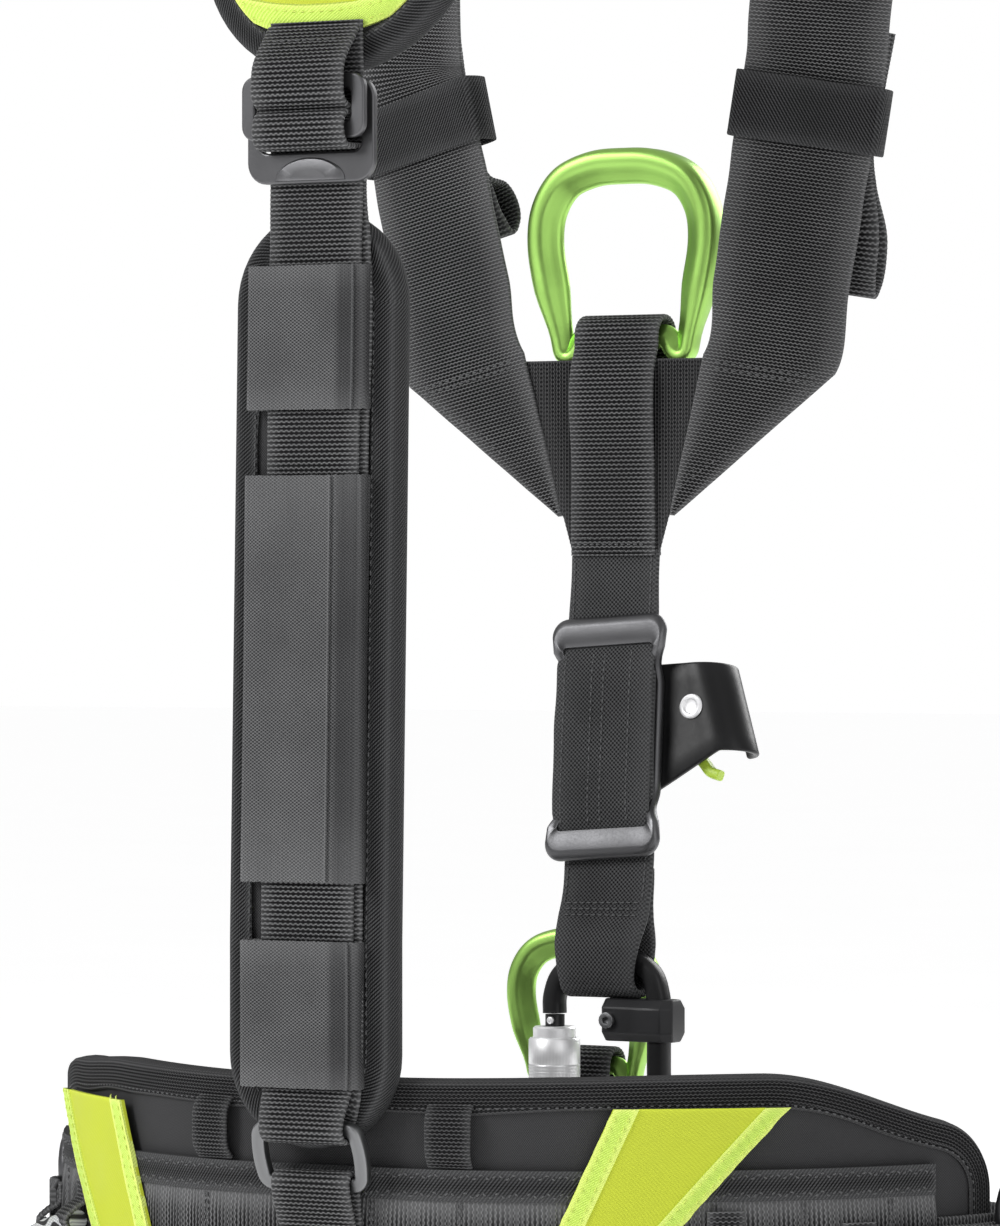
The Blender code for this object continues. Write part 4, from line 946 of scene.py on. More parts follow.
def panel_sheet(name, side, place_range, depth, look, columns, belly):
    """A strip of a neon panel. place_range(z) gives its two edges as arc lengths."""
    rings = []
    for z in span(NEON_LOW, NEON_TOP[side], 1.1):
        inner, outer = place_range(z)
        ring = []
        for k in range(columns + 1):
            share = k / columns
            wave = 0.25 * noise.noise(Vector((share * 3, z * 0.07, side * 5)))
            rise = belly * math.sin(math.pi * share) + wave
            ring.append(belt_point(side * (inner + (outer - inner) * share), z, depth[1] + rise))
        for k in range(columns, -1, -1):
            ring.append(belt_point(side * (inner + (outer - inner) * k / columns), z, depth[0]))
        rings.append(ring)
    return skin(name, rings, look, "harness", False, 50.0)


def neon_panel(name, side):
    """A glossy panel between two stitched tapes, whose outer edges wander a little."""
    face = PANEL_IN + PANEL_THICK

    def inner_tape(z):
        inner, outer = panel_sides(z, side)
        wander = 0.5 * noise.noise(Vector((z * 0.22, 1.5, side)))
        return inner + wander, min(inner + PANEL_TAPE, (inner + outer) / 2)

    def outer_tape(z):
        inner, outer = panel_sides(z, side)
        wander = 0.5 * noise.noise(Vector((z * 0.22, 7.5, side)))
        return max(outer - PANEL_TAPE, (inner + outer) / 2), outer + wander

    def whole(z):
        return panel_sides(z, side)

    panel = panel_sheet(f"neon_cloth_{name}", side, whole, (PANEL_IN, face - 0.6), NEON_LOOK, 10, 0.5)
    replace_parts(panel, f"neon_panel_{name}")
    depth = (PANEL_IN, face + 0.3)
    paths = []
    for part, edges in (("inner", inner_tape), ("outer", outer_tape)):
        panel_sheet(f"neon_tape_{part}_{name}", side, edges, depth, TAPE_LOOK, 5, 0.25)
        for share in (0.22, 0.74):
            path = []
            for z in span(-60.0, 69.0, 4.0):
                a, b = edges(z)
                path.append(belt_point(side * (a + (b - a) * share), z, face + 0.62))
            paths.append((path, outwards))
    threads(f"neon_stitches_{name}", paths, NEON_THREAD_LOOK, "harness", 3.0, 1.6, 0.36)


TOOL_LOOP_X = 57.0
GEAR_CUFFS = (("front", 172.0, 11.0), ("rear", 230.0, 5.0))  # names, lengths and heights


def tool_loop(name, side):
    """A small webbing bridge on the belt's upper panel, tucked under the binding and the trim."""
    s = side * belt_length_at(TOOL_LOOP_X)
    shape = [(1.4, 71.5), (4.4, 68), (5.6, 59), (4.6, 50), (1.6, 46)]
    strap = Strap([belt_point(s, z, off) for off, z in shape], belt_along(s), 20.0, 1.9)
    piece = strap.build(f"tool_loop_webbing_{name}", DIM_LOOK, "harness", 1.6, 0.08)
    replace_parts(piece, f"tool_loop_{name}")


def gear_loop(name, side):
    """A stiff tubular loop with webbing sewn over both its ends."""
    shape = [(166, 8.6, 11), (174, 11.5, 10), (183, 25, 2), (192, 33, -18)]
    shape += [(207, 36, -34), (221, 31, -24), (228, 19, -6), (230, 8.6, 4)]
    line, = smooth_line(curve_through([belt_point(side * s, z, off) for s, off, z in shape], 4), 1.2)
    rings = []
    side_way = Vector((0, 0, 1))
    for i, (point, along) in enumerate(zip(line, tangents(line))):
        side_way = (side_way - along * side_way.dot(along)).normalized()
        up = side_way.cross(along)
        rings.append(circle(point, side_way, up, 4.4 + 0.12 * math.cos(i * 2.1), 16))
    tube = skin(f"gear_loop_tube_{name}", rings, LOOP_LOOK, "harness")
    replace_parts(tube, f"gear_loop_{name}")
    arch = ((-17, 4.6), (-9, 5.1), (-5, 10.5), (0, 14.6), (5, 10.5), (9, 5.1), (17, 4.6))
    for part, centre, height in GEAR_CUFFS:
        path = [belt_point(side * centre, height + z, off) for z, off in arch]
        cuff = Strap(path, belt_along(side * centre), 16.0, 1.8)
        cuff.build(f"gear_cuff_{part}_{name}", WEBBING_LOOK, "harness", 1.9)


def soft_section(width, height, squareness, steps=20):
    """A closed curve between an ellipse (2) and a rectangle (large)."""
    section = []
    for k in range(steps):
        turn = 2 * math.pi * k / steps
        c = math.cos(turn)
        s = math.sin(turn)
        x = math.copysign(abs(c) ** (2 / squareness), c) * width / 2
        y = math.copysign(abs(s) ** (2 / squareness), s) * height / 2
        section.append((x, y))
    return section


def wire(name, line, normal, section, look, body, closed=True, spacing=1.4, sizes=None):
    """A bent bar. Its section's first axis lies in the plane of the bend, its second along the normal."""
    line, sizes = smooth_line(line, spacing, closed, (sizes or [1.0] * len(line),))
    up = Vector(normal).normalized()
    rings = []
    for point, along, size in zip(line, tangents(line, closed), sizes):
        out = up.cross(along).normalized()
        rings.append([point + out * (x * size) + up * (y * size) for x, y in section])
    return skin(name, rings, look, body, closed, 60.0)


HIP_BAR_S = 300.0
HIP_BAR_OFF = 10.5
HIP_BAR_WIRE = 8.0
HIP_TAB_WIDTH = 38.0


def hip_tab(name, side):
    """Webbing folded round the hip ring's bar and sewn on the belt's wing."""
    inner = BAND_OUT + GAP + WEBBING_THICK / 2
    outer = inner + WEBBING_THICK + GAP
    turn = HIP_BAR_WIRE / 2 + GAP + WEBBING_THICK / 2 + 0.9
    shape = [(238, inner), (262, inner), (284, inner)]
    shape += arc((HIP_BAR_S, HIP_BAR_OFF), turn, -105, 105, 8)
    shape += [(284, outer + 2.0), (262, outer), (238, outer)]
    strap = Strap([belt_point(side * s, 0, off) for s, off in shape], (0, 0, 1), HIP_TAB_WIDTH)
    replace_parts(strap.build(f"hip_tab_webbing_{name}", WEBBING_LOOK), f"hip_tab_{name}")
    face = outer + WEBBING_THICK / 2 + 0.25
    paths = []
    for s in (242.0, 246.0, 270.0, 274.0):
        path = [belt_point(side * s, z, face) for z in span(-16, 16, 4.0)]
        paths.append((path, belt_out(side * s)))
    for z in (-16.0, 16.0):
        path = [belt_point(side * s, z, face) for s in span(242, 274, 4.0)]
        paths.append((path, belt_out(side * 258)))
    threads(f"hip_tab_stitches_{name}", paths, THREAD_LOOK)


def hip_ring(name, side):
    """A D ring of round wire: an upright bar, slimmer inside its tab, and a bow that points forward."""
    centre = belt_point(side * HIP_BAR_S, 0, HIP_BAR_OFF)
    forward = belt_along(side * HIP_BAR_S) * side
    shape = [(0, -27), (0, -9), (0, 9), (0, 27), (3.5, 34.0), (11, 37.0)]
    shape += arc((18, 0), 36.0, 70, -70, 10)
    shape += [(11, -37.0), (3.5, -34.0)]
    line = [centre + forward * a + Vector((0, 0, b)) for a, b in shape]
    normal = forward.cross(Vector((0, 0, 1)))
    section = soft_section(HIP_BAR_WIRE, HIP_BAR_WIRE, 2.0)
    sizes = [0.84 if a == 0 and abs(b) < 20 else 1.0 for a, b in shape]
    node = f"hip_ring_{name}"
    ring = wire(f"hip_d_ring_{name}", line, normal, section, DARK_METAL_LOOK, node, sizes=sizes)
    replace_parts(ring, node)


# ---- buckles ----
class Place:
    """Local axes: across the webbing, out of the body, and along the webbing."""

    def __init__(self, centre, across, out, along):
        self.centre = Vector(centre)
        self.across = Vector(across).normalized()
        self.out = Vector(out).normalized()
        self.along = Vector(along).normalized()

    def at(self, a, b, c):
        return self.centre + self.across * a + self.out * b + self.along * c


def window_plate(name, place, outer, window, b_range, look, body):
    """A plate with a window. Both outlines are (across, along) and have as many points."""
    rings = []
    for outline, b in ((outer, 1), (outer, 0), (window, 0), (window, 1)):
        rings.append([place.at(a, b_range[b], c) for a, c in outline])
    return bevelled(skin(name, rings, look, body, True, 30.0), 0.9)


def corner_outline(width, low, high, corner):
    middle = (low + high) / 2
    return [(x, z + middle) for x, z in rounded_section(width, high - low, corner, 7)]


BUCKLE_THICK = 3.5
SLIDE_OUT = 6.4


def buckle(name, place, frame_body, slide_body):
    """The buckle's frame, and the slide that lies in front of it."""
    half = BUCKLE_THICK / 2
    parts = (
        ("frame", frame_body, (62.0, -22.0, 22.0, 9.0), (50.0, -9.0, 16.0, 4.0), 0.0),
        ("slide", slide_body, (60.0, -4.0, 23.0, 6.0), (47.0, 3.0, 17.0, 3.0), SLIDE_OUT),
    )
    for part, body, outer, window, out in parts:
        outlines = (corner_outline(*outer), corner_outline(*window))
        depth = (out - half, out + half)
        plate = window_plate(f"{name}_{part}_plate", place, *outlines, depth, DARK_METAL_LOOK, body)
        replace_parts(plate, f"{name}_buckle_{part}")


def buckle_crest(name, place):
    """A raised arch on the frame's lower bar."""
    rings = []
    for share, out in ((1.0, 1.2), (1.0, 2.1), (0.93, 2.9), (0.5, 3.4)):
        arch = [(17.0 * share * x, 9.5 * share * z) for x, z in arc((0, 0), 1.0, 0, 180, 24)]
        rings.append([place.at(a, out, c - 20.8) for a, c in arch])
    skin(f"{name}_frame_crest", rings, DARK_METAL_LOOK, "harness", False, 35.0)


def fold_round_top_bars():
    """Path (out, along) of webbing that comes from above, folds under both top bars and goes back up."""
    path = [(-3.6, 46.0), (-3.6, 18.0), (-3.1, 11.8), (0.6, 9.7), (7.0, 9.7), (11.2, 12.6)]
    return path + [(12.2, 20.0), (11.4, 26.5), (7.4, 33.0), (2.6, 38.5), (-1.4, 43.5)]


def roll_round_slide_bar():
    """Path (out, along) of webbing that comes up behind, rolls over the slide's lower bar and returns."""
    path = [(-6.2, -24.0), (-6.2, -8.0), (-4.4, 0.0), (-0.4, 4.6), (4.6, 6.8), (8.6, 6.6), (11.2, 3.4)]
    path += [(11.2, -2.6), (8.8, -6.4), (4.0, -7.0), (0.0, -7.0), (-3.0, -7.0)]
    return path + [(-3.7, -9.6), (-3.5, -13.0), (-3.4, -24.0)]


# ---- back strap ----
PAD_FACE_Y = -138.0
LAYER_ONE_Y = -141.4
LAYER_TWO_Y = -144.2
LAYER_SHIFT = 2.6  # how far the inner layer shows past the outer one
LINK_WIRE = 5.0
LINK_TOP = (-144.5, 61.5)  # Y and Z of the link's upper and lower bars
LINK_LOW = (-137.5, 38.0)
DORSAL_PLACE = Place((0, -140.1, FRAME_MIDDLE), (1, 0, 0), (0, -1, 0), (0, 0, 1))
BACKWARD = Vector((0, -1, 0))
LEAN = 7.5 / 317  # slope of the back strap above LEAN_START
LEAN_START = 140.0


def lean(z):
    return LEAN * max(0.0, z - LEAN_START)


def dorsal_link():
    top = Vector((0, *LINK_TOP))
    low = Vector((0, *LINK_LOW))
    up = (top - low).normalized()
    outline = rounded_section(48.0, (top - low).length, 4.6, 4)
    line = [(top + low) / 2 + Vector((x, 0, 0)) + up * z for x, z in outline]
    normal = Vector((1, 0, 0)).cross(up)
    section = soft_section(6.2, LINK_WIRE, 5.0)
    link = wire("dorsal_link_bar", line, normal, section, LINK_METAL_LOOK, "harness")
    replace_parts(link, "dorsal_link")


def dorsal_anchor():
    """A loop round the link's lower bar, sewn down the middle of the belt."""
    turn = LINK_WIRE / 2 + GAP + WEBBING_THICK / 2 + 0.4
    inner = BELT_PLAN[0][1] - BAND_OUT - GAP - WEBBING_THICK / 2
    outer = inner - WEBBING_THICK - GAP
    shape = [(inner, -58), (inner, -20), (inner, 14), (inner - 1.5, 22)]
    shape += arc(LINK_LOW, turn, -20, 200, 8)
    shape += [(outer - 3.4, 21), (outer, 12), (outer, -20), (outer, -58)]
    strap = Strap([(0, y, z) for y, z in shape], (1, 0, 0), 38.0)
    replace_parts(strap.build("dorsal_anchor_webbing", WEBBING_LOOK, wave=0.5), "dorsal_anchor")
    face = outer - WEBBING_THICK / 2 - 0.3
    paths = []
    for z in (10.0, 7.0, -50.0, -54.0):
        paths.append(([(x, face, z) for x in span(-16, 16, 4.0)], BACKWARD))
    for x in (-16.0, 16.0, -13.6, 13.6):
        paths.append(([(x, face, z) for z in span(-54, 10, 5.0)], BACKWARD))
    threads("dorsal_anchor_stitches", paths, THREAD_LOOK, "harness", 2.4, 0.9, 0.42)


def dorsal_webbing():
    """Two layers that fold round the link below and roll round the buckle's slide above."""
    turn = LINK_WIRE / 2 + GAP + WEBBING_THICK / 2 + 1.1
    heights = [430, 330, 230, 140, 78]
    line = [Vector((LAYER_SHIFT, LAYER_ONE_Y + lean(z), z)) for z in heights]
    line += [Vector((0, y, z)) for y, z in arc(LINK_TOP, turn, 20, -200, 8)]
    line += [Vector((0, LAYER_TWO_Y + lean(z), z)) for z in reversed(heights)]
    line += [DORSAL_PLACE.at(0, b, c) for b, c in reversed(roll_round_slide_bar())]
    widths = [WEBBING - 4.0 * (1 - ease((point.z - 66) / 20)) for point in line]
    strap = Strap(line, (1, 0, 0), widths, WEBBING_THICK, True)
    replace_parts(strap.build("dorsal_strap", WEBBING_LOOK, wave=0.35), "dorsal_webbing")


DORSAL_PAD_WIDTH = 76.0
DORSAL_PAD_THICK = 11.0
DORSAL_PAD_BOTTOM = 54.0
DORSAL_PAD_TOP = 445.0
PAD_SHIFT = -3.0  # the pad and its wraps have slid a little to the left on the webbing


def pad_place(x, z, out):
    return Vector((x + PAD_SHIFT, PAD_FACE_Y + lean(z) - out, z))


def slot_outline(width, low, high, steps):
    r = width / 2
    return arc((0, high - r), r, 0, 180, steps) + arc((0, low + r), r, 180, 360, steps)


def faces_back(place, normal):
    return normal.y < -0.2


def dorsal_pad():
    rings = []
    face = PAD_FACE_Y + DORSAL_PAD_THICK / 2
    for depth, inset in ((-1.0, 4.5), (-0.6, 1.8), (0.0, 1.2), (0.6, 1.8), (1.0, 4.5)):
        ends = (DORSAL_PAD_BOTTOM + inset, DORSAL_PAD_TOP - inset)
        outline = slot_outline(DORSAL_PAD_WIDTH - 2 * inset, *ends, 12)
        shift = depth * (DORSAL_PAD_THICK / 2 - 1.0)
        rings.append([Vector((x + PAD_SHIFT, face + shift + lean(z), z)) for x, z in outline])

    def channels(place):
        near = min(abs(place.z - z) for z in range(90, 430, 34))
        return groove(near, 1.8, 2.4)

    looks = (PAD_LOOK, LINING_LOOK)
    pad = padded("dorsal_pad_body", rings, *looks, "harness", faces_back, 0.7, 3.0, channels, 3.6)
    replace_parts(pad, "dorsal_pad")
    outline = slot_outline(DORSAL_PAD_WIDTH, DORSAL_PAD_BOTTOM, DORSAL_PAD_TOP, 24)
    rim = even_rim(outline, 1.8)
    bind_rim("dorsal_pad_binding", rim, pad_place, DORSAL_PAD_THICK, 10.5, TWILL_LOOK, "harness", 0, 0.7)
    paths = [(rim_path(rim, pad_place, 9.2, 1.4), BACKWARD)]
    threads("dorsal_pad_stitches", paths, THREAD_LOOK, gap=1.4)


WRAP_HALF = 28.1
WRAP_FRONT_Y = -146.6
WRAP_BACK_Y = -139.0


def wrap(name, low, high, flap_end):
    """A hook-and-loop sleeve wound once round the webbing, whose flap closes over its own start."""
    plan = [(-22, WRAP_FRONT_Y), (0, WRAP_FRONT_Y - 0.2), (20, WRAP_FRONT_Y)]
    plan += arc((WRAP_HALF - 2.2, WRAP_FRONT_Y + 2.2), 2.2, -90, 0, 3)
    plan += arc((WRAP_HALF - 2.0, WRAP_BACK_Y - 1.6), 1.6, 0, 90, 3)
    plan += [(0, WRAP_BACK_Y + 0.2)]
    plan += arc((2.0 - WRAP_HALF, WRAP_BACK_Y - 1.6), 1.6, 90, 180, 3)
    plan += arc((2.2 - WRAP_HALF, WRAP_FRONT_Y + 1.4), 2.4, 180, 270, 3)
    plan += [(-12, WRAP_FRONT_Y - 1.5), (6, WRAP_FRONT_Y - 1.6), (flap_end, WRAP_FRONT_Y - 1.5)]
    middle = (low + high) / 2
    slope = LEAN if low > LEAN_START else 0.0
    line = [Vector((x + PAD_SHIFT, y + lean(middle), middle)) for x, y in plan]
    strap = Strap(line, (0, slope, 1), high - low, 1.3)
    piece = strap.build(f"{name}_sleeve", WRAP_LOOK, rib=1.5, depth=0.02, wave=0.3, fray=0.8)
    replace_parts(piece, name)
    return strap


def wraps():
    wrap("wrap_upper", 362.0, 423.0, 24.0)
    wrap("wrap_middle", 164.0, 335.0, 14.0)
    wrap("wrap_lower", 78.0, 140.0, 25.0)


def yoke_webbing():
    line = [DORSAL_PLACE.at(0, b, c) for b, c in fold_round_top_bars()]
    strap = Strap(line, (1, 0, 0))
    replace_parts(strap.build("yoke_strap", WEBBING_LOOK, wave=0.4), "yoke_webbing")
    face = strap.lengths[-1] - 9
    paths = []
    for back in (0.0, 3.4):
        path = [strap.at(face - back, across, -1.5) for across in span(-17, 17, 4.0)]
        paths.append((path, BACKWARD))
    threads("yoke_strap_stitches", paths, THREAD_LOOK)


YOKE_TOP = 640.0
YOKE_BOTTOM = 501.0
YOKE_THICK = 10.0
PANEL_BOTTOM = 521.0
PANEL_TOP = 625.0


def yoke_half(z):
    """Half width of the yoke pad at a height: a round bottom that opens into the shoulders."""
    if z < 570:
        return math.sqrt(max(9.0, 69.0**2 - (z - 570) ** 2))
    grown = 69 + 16 * ease((z - 570) / 46)
    return grown - 14 * ease((z - 618) / 22)


def yoke_face(x, z):
    """Y of the yoke pad's outer face, which follows the wearer's back."""
    return -134 + 14 * ((z - YOKE_BOTTOM) / 136) ** 2 + 0.0022 * x * x


def yoke_place(x, z, out):
    return Vector((x, yoke_face(x, z) - out, z))


def yoke_pad():
    rings = []
    for z in span(YOKE_BOTTOM + 3, YOKE_TOP - 2, 6.0):
        half = yoke_half(z) - 2.5
        places = span(-half, half, half / 6.0)
        outside = [yoke_place(x, z, -1.2) for x in places]
        inside = [yoke_place(x, z, 1.2 - YOKE_THICK) for x in reversed(places)]
        rings.append(outside + inside)

    def channels(place):
        return groove(min(abs(place.x - x) for x in (-36, 0, 36)), 1.8, 2.4)

    looks = (PAD_LOOK, LINING_LOOK)
    pad = padded("yoke_body", rings, *looks, "harness", faces_back, 1.0, 3.0, channels, 4.0)
    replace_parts(pad, "yoke_pad")
    right = [(yoke_half(z), z) for z in span(569, YOKE_TOP, 5.0)]
    left = [(-x, z) for x, z in reversed(right)]
    bottom = arc((0, 569), 65.0, 180, 360, 30)
    rim = even_rim(right + left + bottom[1:-1], 1.8)
    bind_rim("yoke_binding", rim, yoke_place, YOKE_THICK, 11.0, TWILL_LOOK, "harness", 0, 0.6)
    paths = [(rim_path(rim, yoke_place, 9.4, 1.4), BACKWARD)]
    threads("yoke_stitches", paths, THREAD_LOOK, gap=1.4)


def yoke_spot(u, t, out):
    """A place on the neon panel: u runs across from -1 to 1, and t up from 0 to 1."""
    low = PANEL_BOTTOM + 7.0 * u * u
    z = low + (PANEL_TOP - low) * t
    half = yoke_half(PANEL_BOTTOM - 2 + (PANEL_TOP - PANEL_BOTTOM) * t) - 11
    return yoke_place(u * half, z, out)


def yoke_sheet(name, t_range, out, look, rows, belly):
    rings = []
    columns = 44
    for k in range(rows + 1):
        t = t_range[0] + (t_range[1] - t_range[0]) * k / rows
        share = k / rows
        ring = []
        for i in range(columns + 1):
            u = -1 + 2 * i / columns
            wave = 0.3 * noise.noise(Vector((u * 4, t * 9, out)))
            rise = belly * math.sin(math.pi * share) * (1 - u**4)
            ring.append(yoke_spot(u, t, out + rise + wave))
        ring += [yoke_spot(1 - 2 * i / columns, t, 0.3) for i in range(columns + 1)]
        rings.append(ring)
    return skin(name, rings, look, "harness", False, 50.0)


def yoke_cover():
    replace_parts(yoke_sheet("yoke_neon", (0.0, 1.0), 1.6, NEON_LOOK, 50, 0.8), "yoke_panel")
    yoke_sheet("yoke_tape_low", (-0.02, 0.105), 2.4, TAPE_LOOK, 8, 0.2)
    yoke_sheet("yoke_tape_top", (0.93, 1.01), 2.4, TAPE_LOOK, 8, 0.2)
    paths = []
    for t in (0.015, 0.08, 0.94, 0.99):
        paths.append(([yoke_spot(u / 20, t, 2.7) for u in range(-19, 20)], BACKWARD))
    threads("yoke_neon_stitches", paths, NEON_THREAD_LOOK, "harness", 3.0, 1.6)


# ---- shoulder straps ----
STRAP_WIDTH = 65.0
STRAP_THICK = 3.0
KEEPER_Z = 500.0
STRAP_LOW = Vector((78, CHEST_Y, 388))
STRAP_HIGH = Vector((100, CHEST_Y + 4, 527))
STRAP_TIP = Vector((28.7, CHEST_Y, 321))
LEFT_SPREAD = Vector((11.0, 0, 0))  # the left strap leans outwards a little more


def strap_across(z):
    """Direction from a strap's inner edge to its outer edge, which turns forward as the strap rises."""
    return Vector((1, 0.09 + 0.11 * (z - STRAP_LOW.z) / (STRAP_HIGH.z - STRAP_LOW.z), 0)).normalized()


def strap_high(side):
    return STRAP_HIGH if side > 0 else STRAP_HIGH + LEFT_SPREAD


def strap_line(high):
    """Centre line, edge directions and widths of the right strap, from the chest over the shoulder."""
    straight = [STRAP_LOW.lerp(high, t) for t in (0, 0.25, 0.5, 0.75)]
    knots = [high, (107, 118, 588), (110, 76, 638), (107, 15, 664), (102, -45, 655)]
    knots += [(89, -84, 631), (70, -97, 600)]
    ways = [strap_across(STRAP_HIGH.z), (1, 0.42, -0.1), (1, 0.4, -0.25), (1, 0.1, -0.35), (1, -0.05, -0.3)]
    ways += [(1, 0.05, -0.5), (0.85, 0.15, -0.55)]
    curve = curve_through(knots, steps=5)
    turns = [Vector(way).normalized() for way in curve_through(ways, steps=5)]
    shares = (0.0, 0.3, 0.6, 0.85, 0.97)
    line = [STRAP_TIP.lerp(STRAP_LOW, t) for t in shares] + straight + curve
    across = [strap_across(STRAP_LOW.z)] * len(shares) + [strap_across(p.z) for p in straight] + turns
    widths = [2.4 + (STRAP_WIDTH - 2.4) * t for t in shares] + [STRAP_WIDTH] * len(straight + curve)
    return line, across, widths


def shoulder_strap(name, side):
    """The strap is cut on a slant below STRAP_LOW, where its weave runs straight on to the cut."""
    line, across, widths = strap_line(strap_high(side))
    line = [flip(p, side) for p in line]
    across = [flip(v, side) for v in across]
    strap = Strap(line, across, widths, STRAP_THICK, spacing=0.8)
    corner = flip(STRAP_LOW, side)
    way = (flip(strap_high(side), side) - corner).normalized()
    across_low = (across[0] - way * across[0].dot(way)).normalized()
    start = strap.length_near(corner)
    for i, point in enumerate(strap.line):
        if point.z < STRAP_HIGH.z - 20.0:
            edge = flip(strap_across(max(STRAP_LOW.z, point.z)), side)
            strap.sides[i] = (edge - way * edge.dot(way)).normalized()
            strap.outs[i] = way.cross(strap.sides[i])

    def weave(point):
        return start + (point - corner).dot(way), (point - corner).dot(across_low)

    piece = strap.build(f"shoulder_webbing_{name}", WIDE_LOOK, rib=1.6, depth=0.04, wave=0.5,
                        slant=(start, weave))
    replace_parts(piece, f"shoulder_strap_{name}")
    lift = STRAP_THICK / 2 + 0.2
    paths = []
    for face in (-lift, lift):
        way_out = Vector((0, math.copysign(1, face), 0))
        for height in (-2.5, -5.5):
            ends = (-STRAP_WIDTH / 2 + 6, STRAP_WIDTH / 2 - 8)
            base = corner + Vector((0, face, height))
            paths.append(([base + across_low * a for a in span(*ends, 5.0)], way_out))
        tip = flip(STRAP_TIP, side)
        outer = corner + across_low * (STRAP_WIDTH / 2)
        for inset in (4.0, 7.0):
            low = tip + flip(Vector((-1.0, face, inset + 5)), side)
            high = outer + flip(Vector((-inset, face, -2)), side)
            paths.append(([low.lerp(high, t) for t in span(0.06, 0.96, 0.1)], way_out))
    threads(f"shoulder_stitches_{name}", paths, THREAD_LOOK, "harness", 2.4, 1.5, 0.42)


def strap_place(side, z):
    """Local axes on a strap's straight lower part. Out points away from the wearer."""
    t = (z - STRAP_LOW.z) / (STRAP_HIGH.z - STRAP_LOW.z)
    high = strap_high(side)
    along = (high - STRAP_LOW).normalized()
    across = strap_across(z)
    across = (across - along * across.dot(along)).normalized()
    out = across.cross(along) * -1
    centre = STRAP_LOW.lerp(high, t)
    return Place(flip(centre, side), flip(across, side), flip(out, side), flip(along, side))


def strap_keeper(name, side):
    """An elastic band round the strap and its spare webbing."""
    place = strap_place(side, KEEPER_Z)
    low = -STRAP_THICK / 2 - 1.3
    high = STRAP_THICK / 2 + 2 * (WEBBING_THICK + GAP) + 2.8
    width = STRAP_WIDTH + 3.2 + 1.4
    section = rounded_section(width, high - low + 1.4, 2.6, 3, 5)
    line = [place.at(a, b + (low + high) / 2, 0) for a, b in section]
    strap = Strap(line, place.along, 30.0, 1.5, True)
    band = strap.build(f"keeper_band_{name}", TWILL_LOOK, f"keeper_{name}", 1.7, 0.05, 0.35)
    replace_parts(band, f"strap_keeper_{name}")


def strap_tail(name, side, drop, shift):
    """Spare webbing, folded back on itself, that hangs in front of the strap below its keeper."""
    near = STRAP_THICK / 2 + GAP + WEBBING_THICK / 2 + 1.2
    far = near + WEBBING_THICK + GAP
    shape = [(near, 40.0), (near, 16), (near, -24), (near + 4, -drop + 26), (near + 8.0, -drop + 8)]
    shape += [(near + 13, -drop + 1.5), (near + 18, -drop + 6), (near + 17, -drop + 24)]
    shape += [(far + 3.0, -30), (far, -18), (far, 16), (far + 2.0, 40.0)]
    place = strap_place(side, KEEPER_Z)
    line = [place.at(side * shift * (1 + 0.8 * ease((-16 - c) / 40.0)), b, c) for b, c in shape]
    strap = Strap(line, place.across)
    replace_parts(strap.build(f"tail_webbing_{name}", WEBBING_LOOK, wave=0.4), f"strap_tail_{name}")


def chest_backing():
    """Webbing that joins both straps at the Y junction and narrows to the chest strap."""
    levels = [(303, 22.0), (320, 27.0), (330, 31.0), (391.5, 51.0)]
    line = [(0, CHEST_Y, z) for z, _ in levels]
    strap = Strap(line, (1, 0, 0), [2 * half for _, half in levels])
    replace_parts(strap.build("chest_backing_webbing", SMOOTH_LOOK, wave=0.0), "chest_backing")


# ---- chest ----
STERNAL_BAR = Vector((0.0, 131.0, 402.0))
STERNAL_WIRE = 12.7
VENTRAL_BAR = Vector((-16.0, 122.0, 72.5))
VENTRAL_WIRE = 10.0
VENTRAL_SCALE = (0.80, 0.72)
RING_PLAY = 1.2


def ring_section(wire_size):
    """A forged ring's section: a broad outer face, a crease, and a hollow bevel down to the inner edge."""
    half = [(0.50, 0.0), (0.50, 0.22), (0.46, 0.36), (0.38, 0.44), (0.26, 0.47), (0.12, 0.47), (0.02, 0.455)]
    half += [(-0.06, 0.41), (-0.17, 0.315), (-0.28, 0.235), (-0.38, 0.175), (-0.46, 0.115), (-0.50, 0.0)]
    lower = [(x, -y) for x, y in reversed(half[1:-1])]
    return [(x * wire_size, y * wire_size) for x, y in half + lower]


def harness_ring(name, bar, wire_size, scale):
    """A pear-shaped ring whose straight bar lies in its webbing. It is slimmer near the bar."""
    half = [(0, 0), (15, 0), (22, -0.4), (27.0, -6.4), (30.4, -6.6), (32.4, 1.0), (37.0, 22)]
    half += [(40.4, 42), (38.6, 58), (30, 70.6), (15.5, 76.4), (0, 77.4)]
    left = [(-x, z) for x, z in reversed(half[1:-1])]
    line = curve_through([(x, 0, z) for x, z in half + left], steps=4, closed=True)
    line = [bar + Vector((p.x * scale[0], 0, p.z * scale[1])) for p in line]
    sizes = [0.82 + 0.46 * ease((p.z - bar.z) / (26 * scale[1])) for p in line]
    node = f"{name}_ring"
    section = ring_section(wire_size)
    ring = wire(f"{name}_harness_ring", line, (0, 1, 0), section, GREEN_METAL_LOOK, node, sizes=sizes)
    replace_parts(ring, node)


def loop_over_bar(name, node, shape, width, middle_x, look):
    """Webbing over a ring's bar. shape is its path as (y, z)."""
    strap = Strap([(middle_x, y, z) for y, z in shape], (1, 0, 0), width)
    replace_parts(strap.build(name, look, wave=0.45), node)


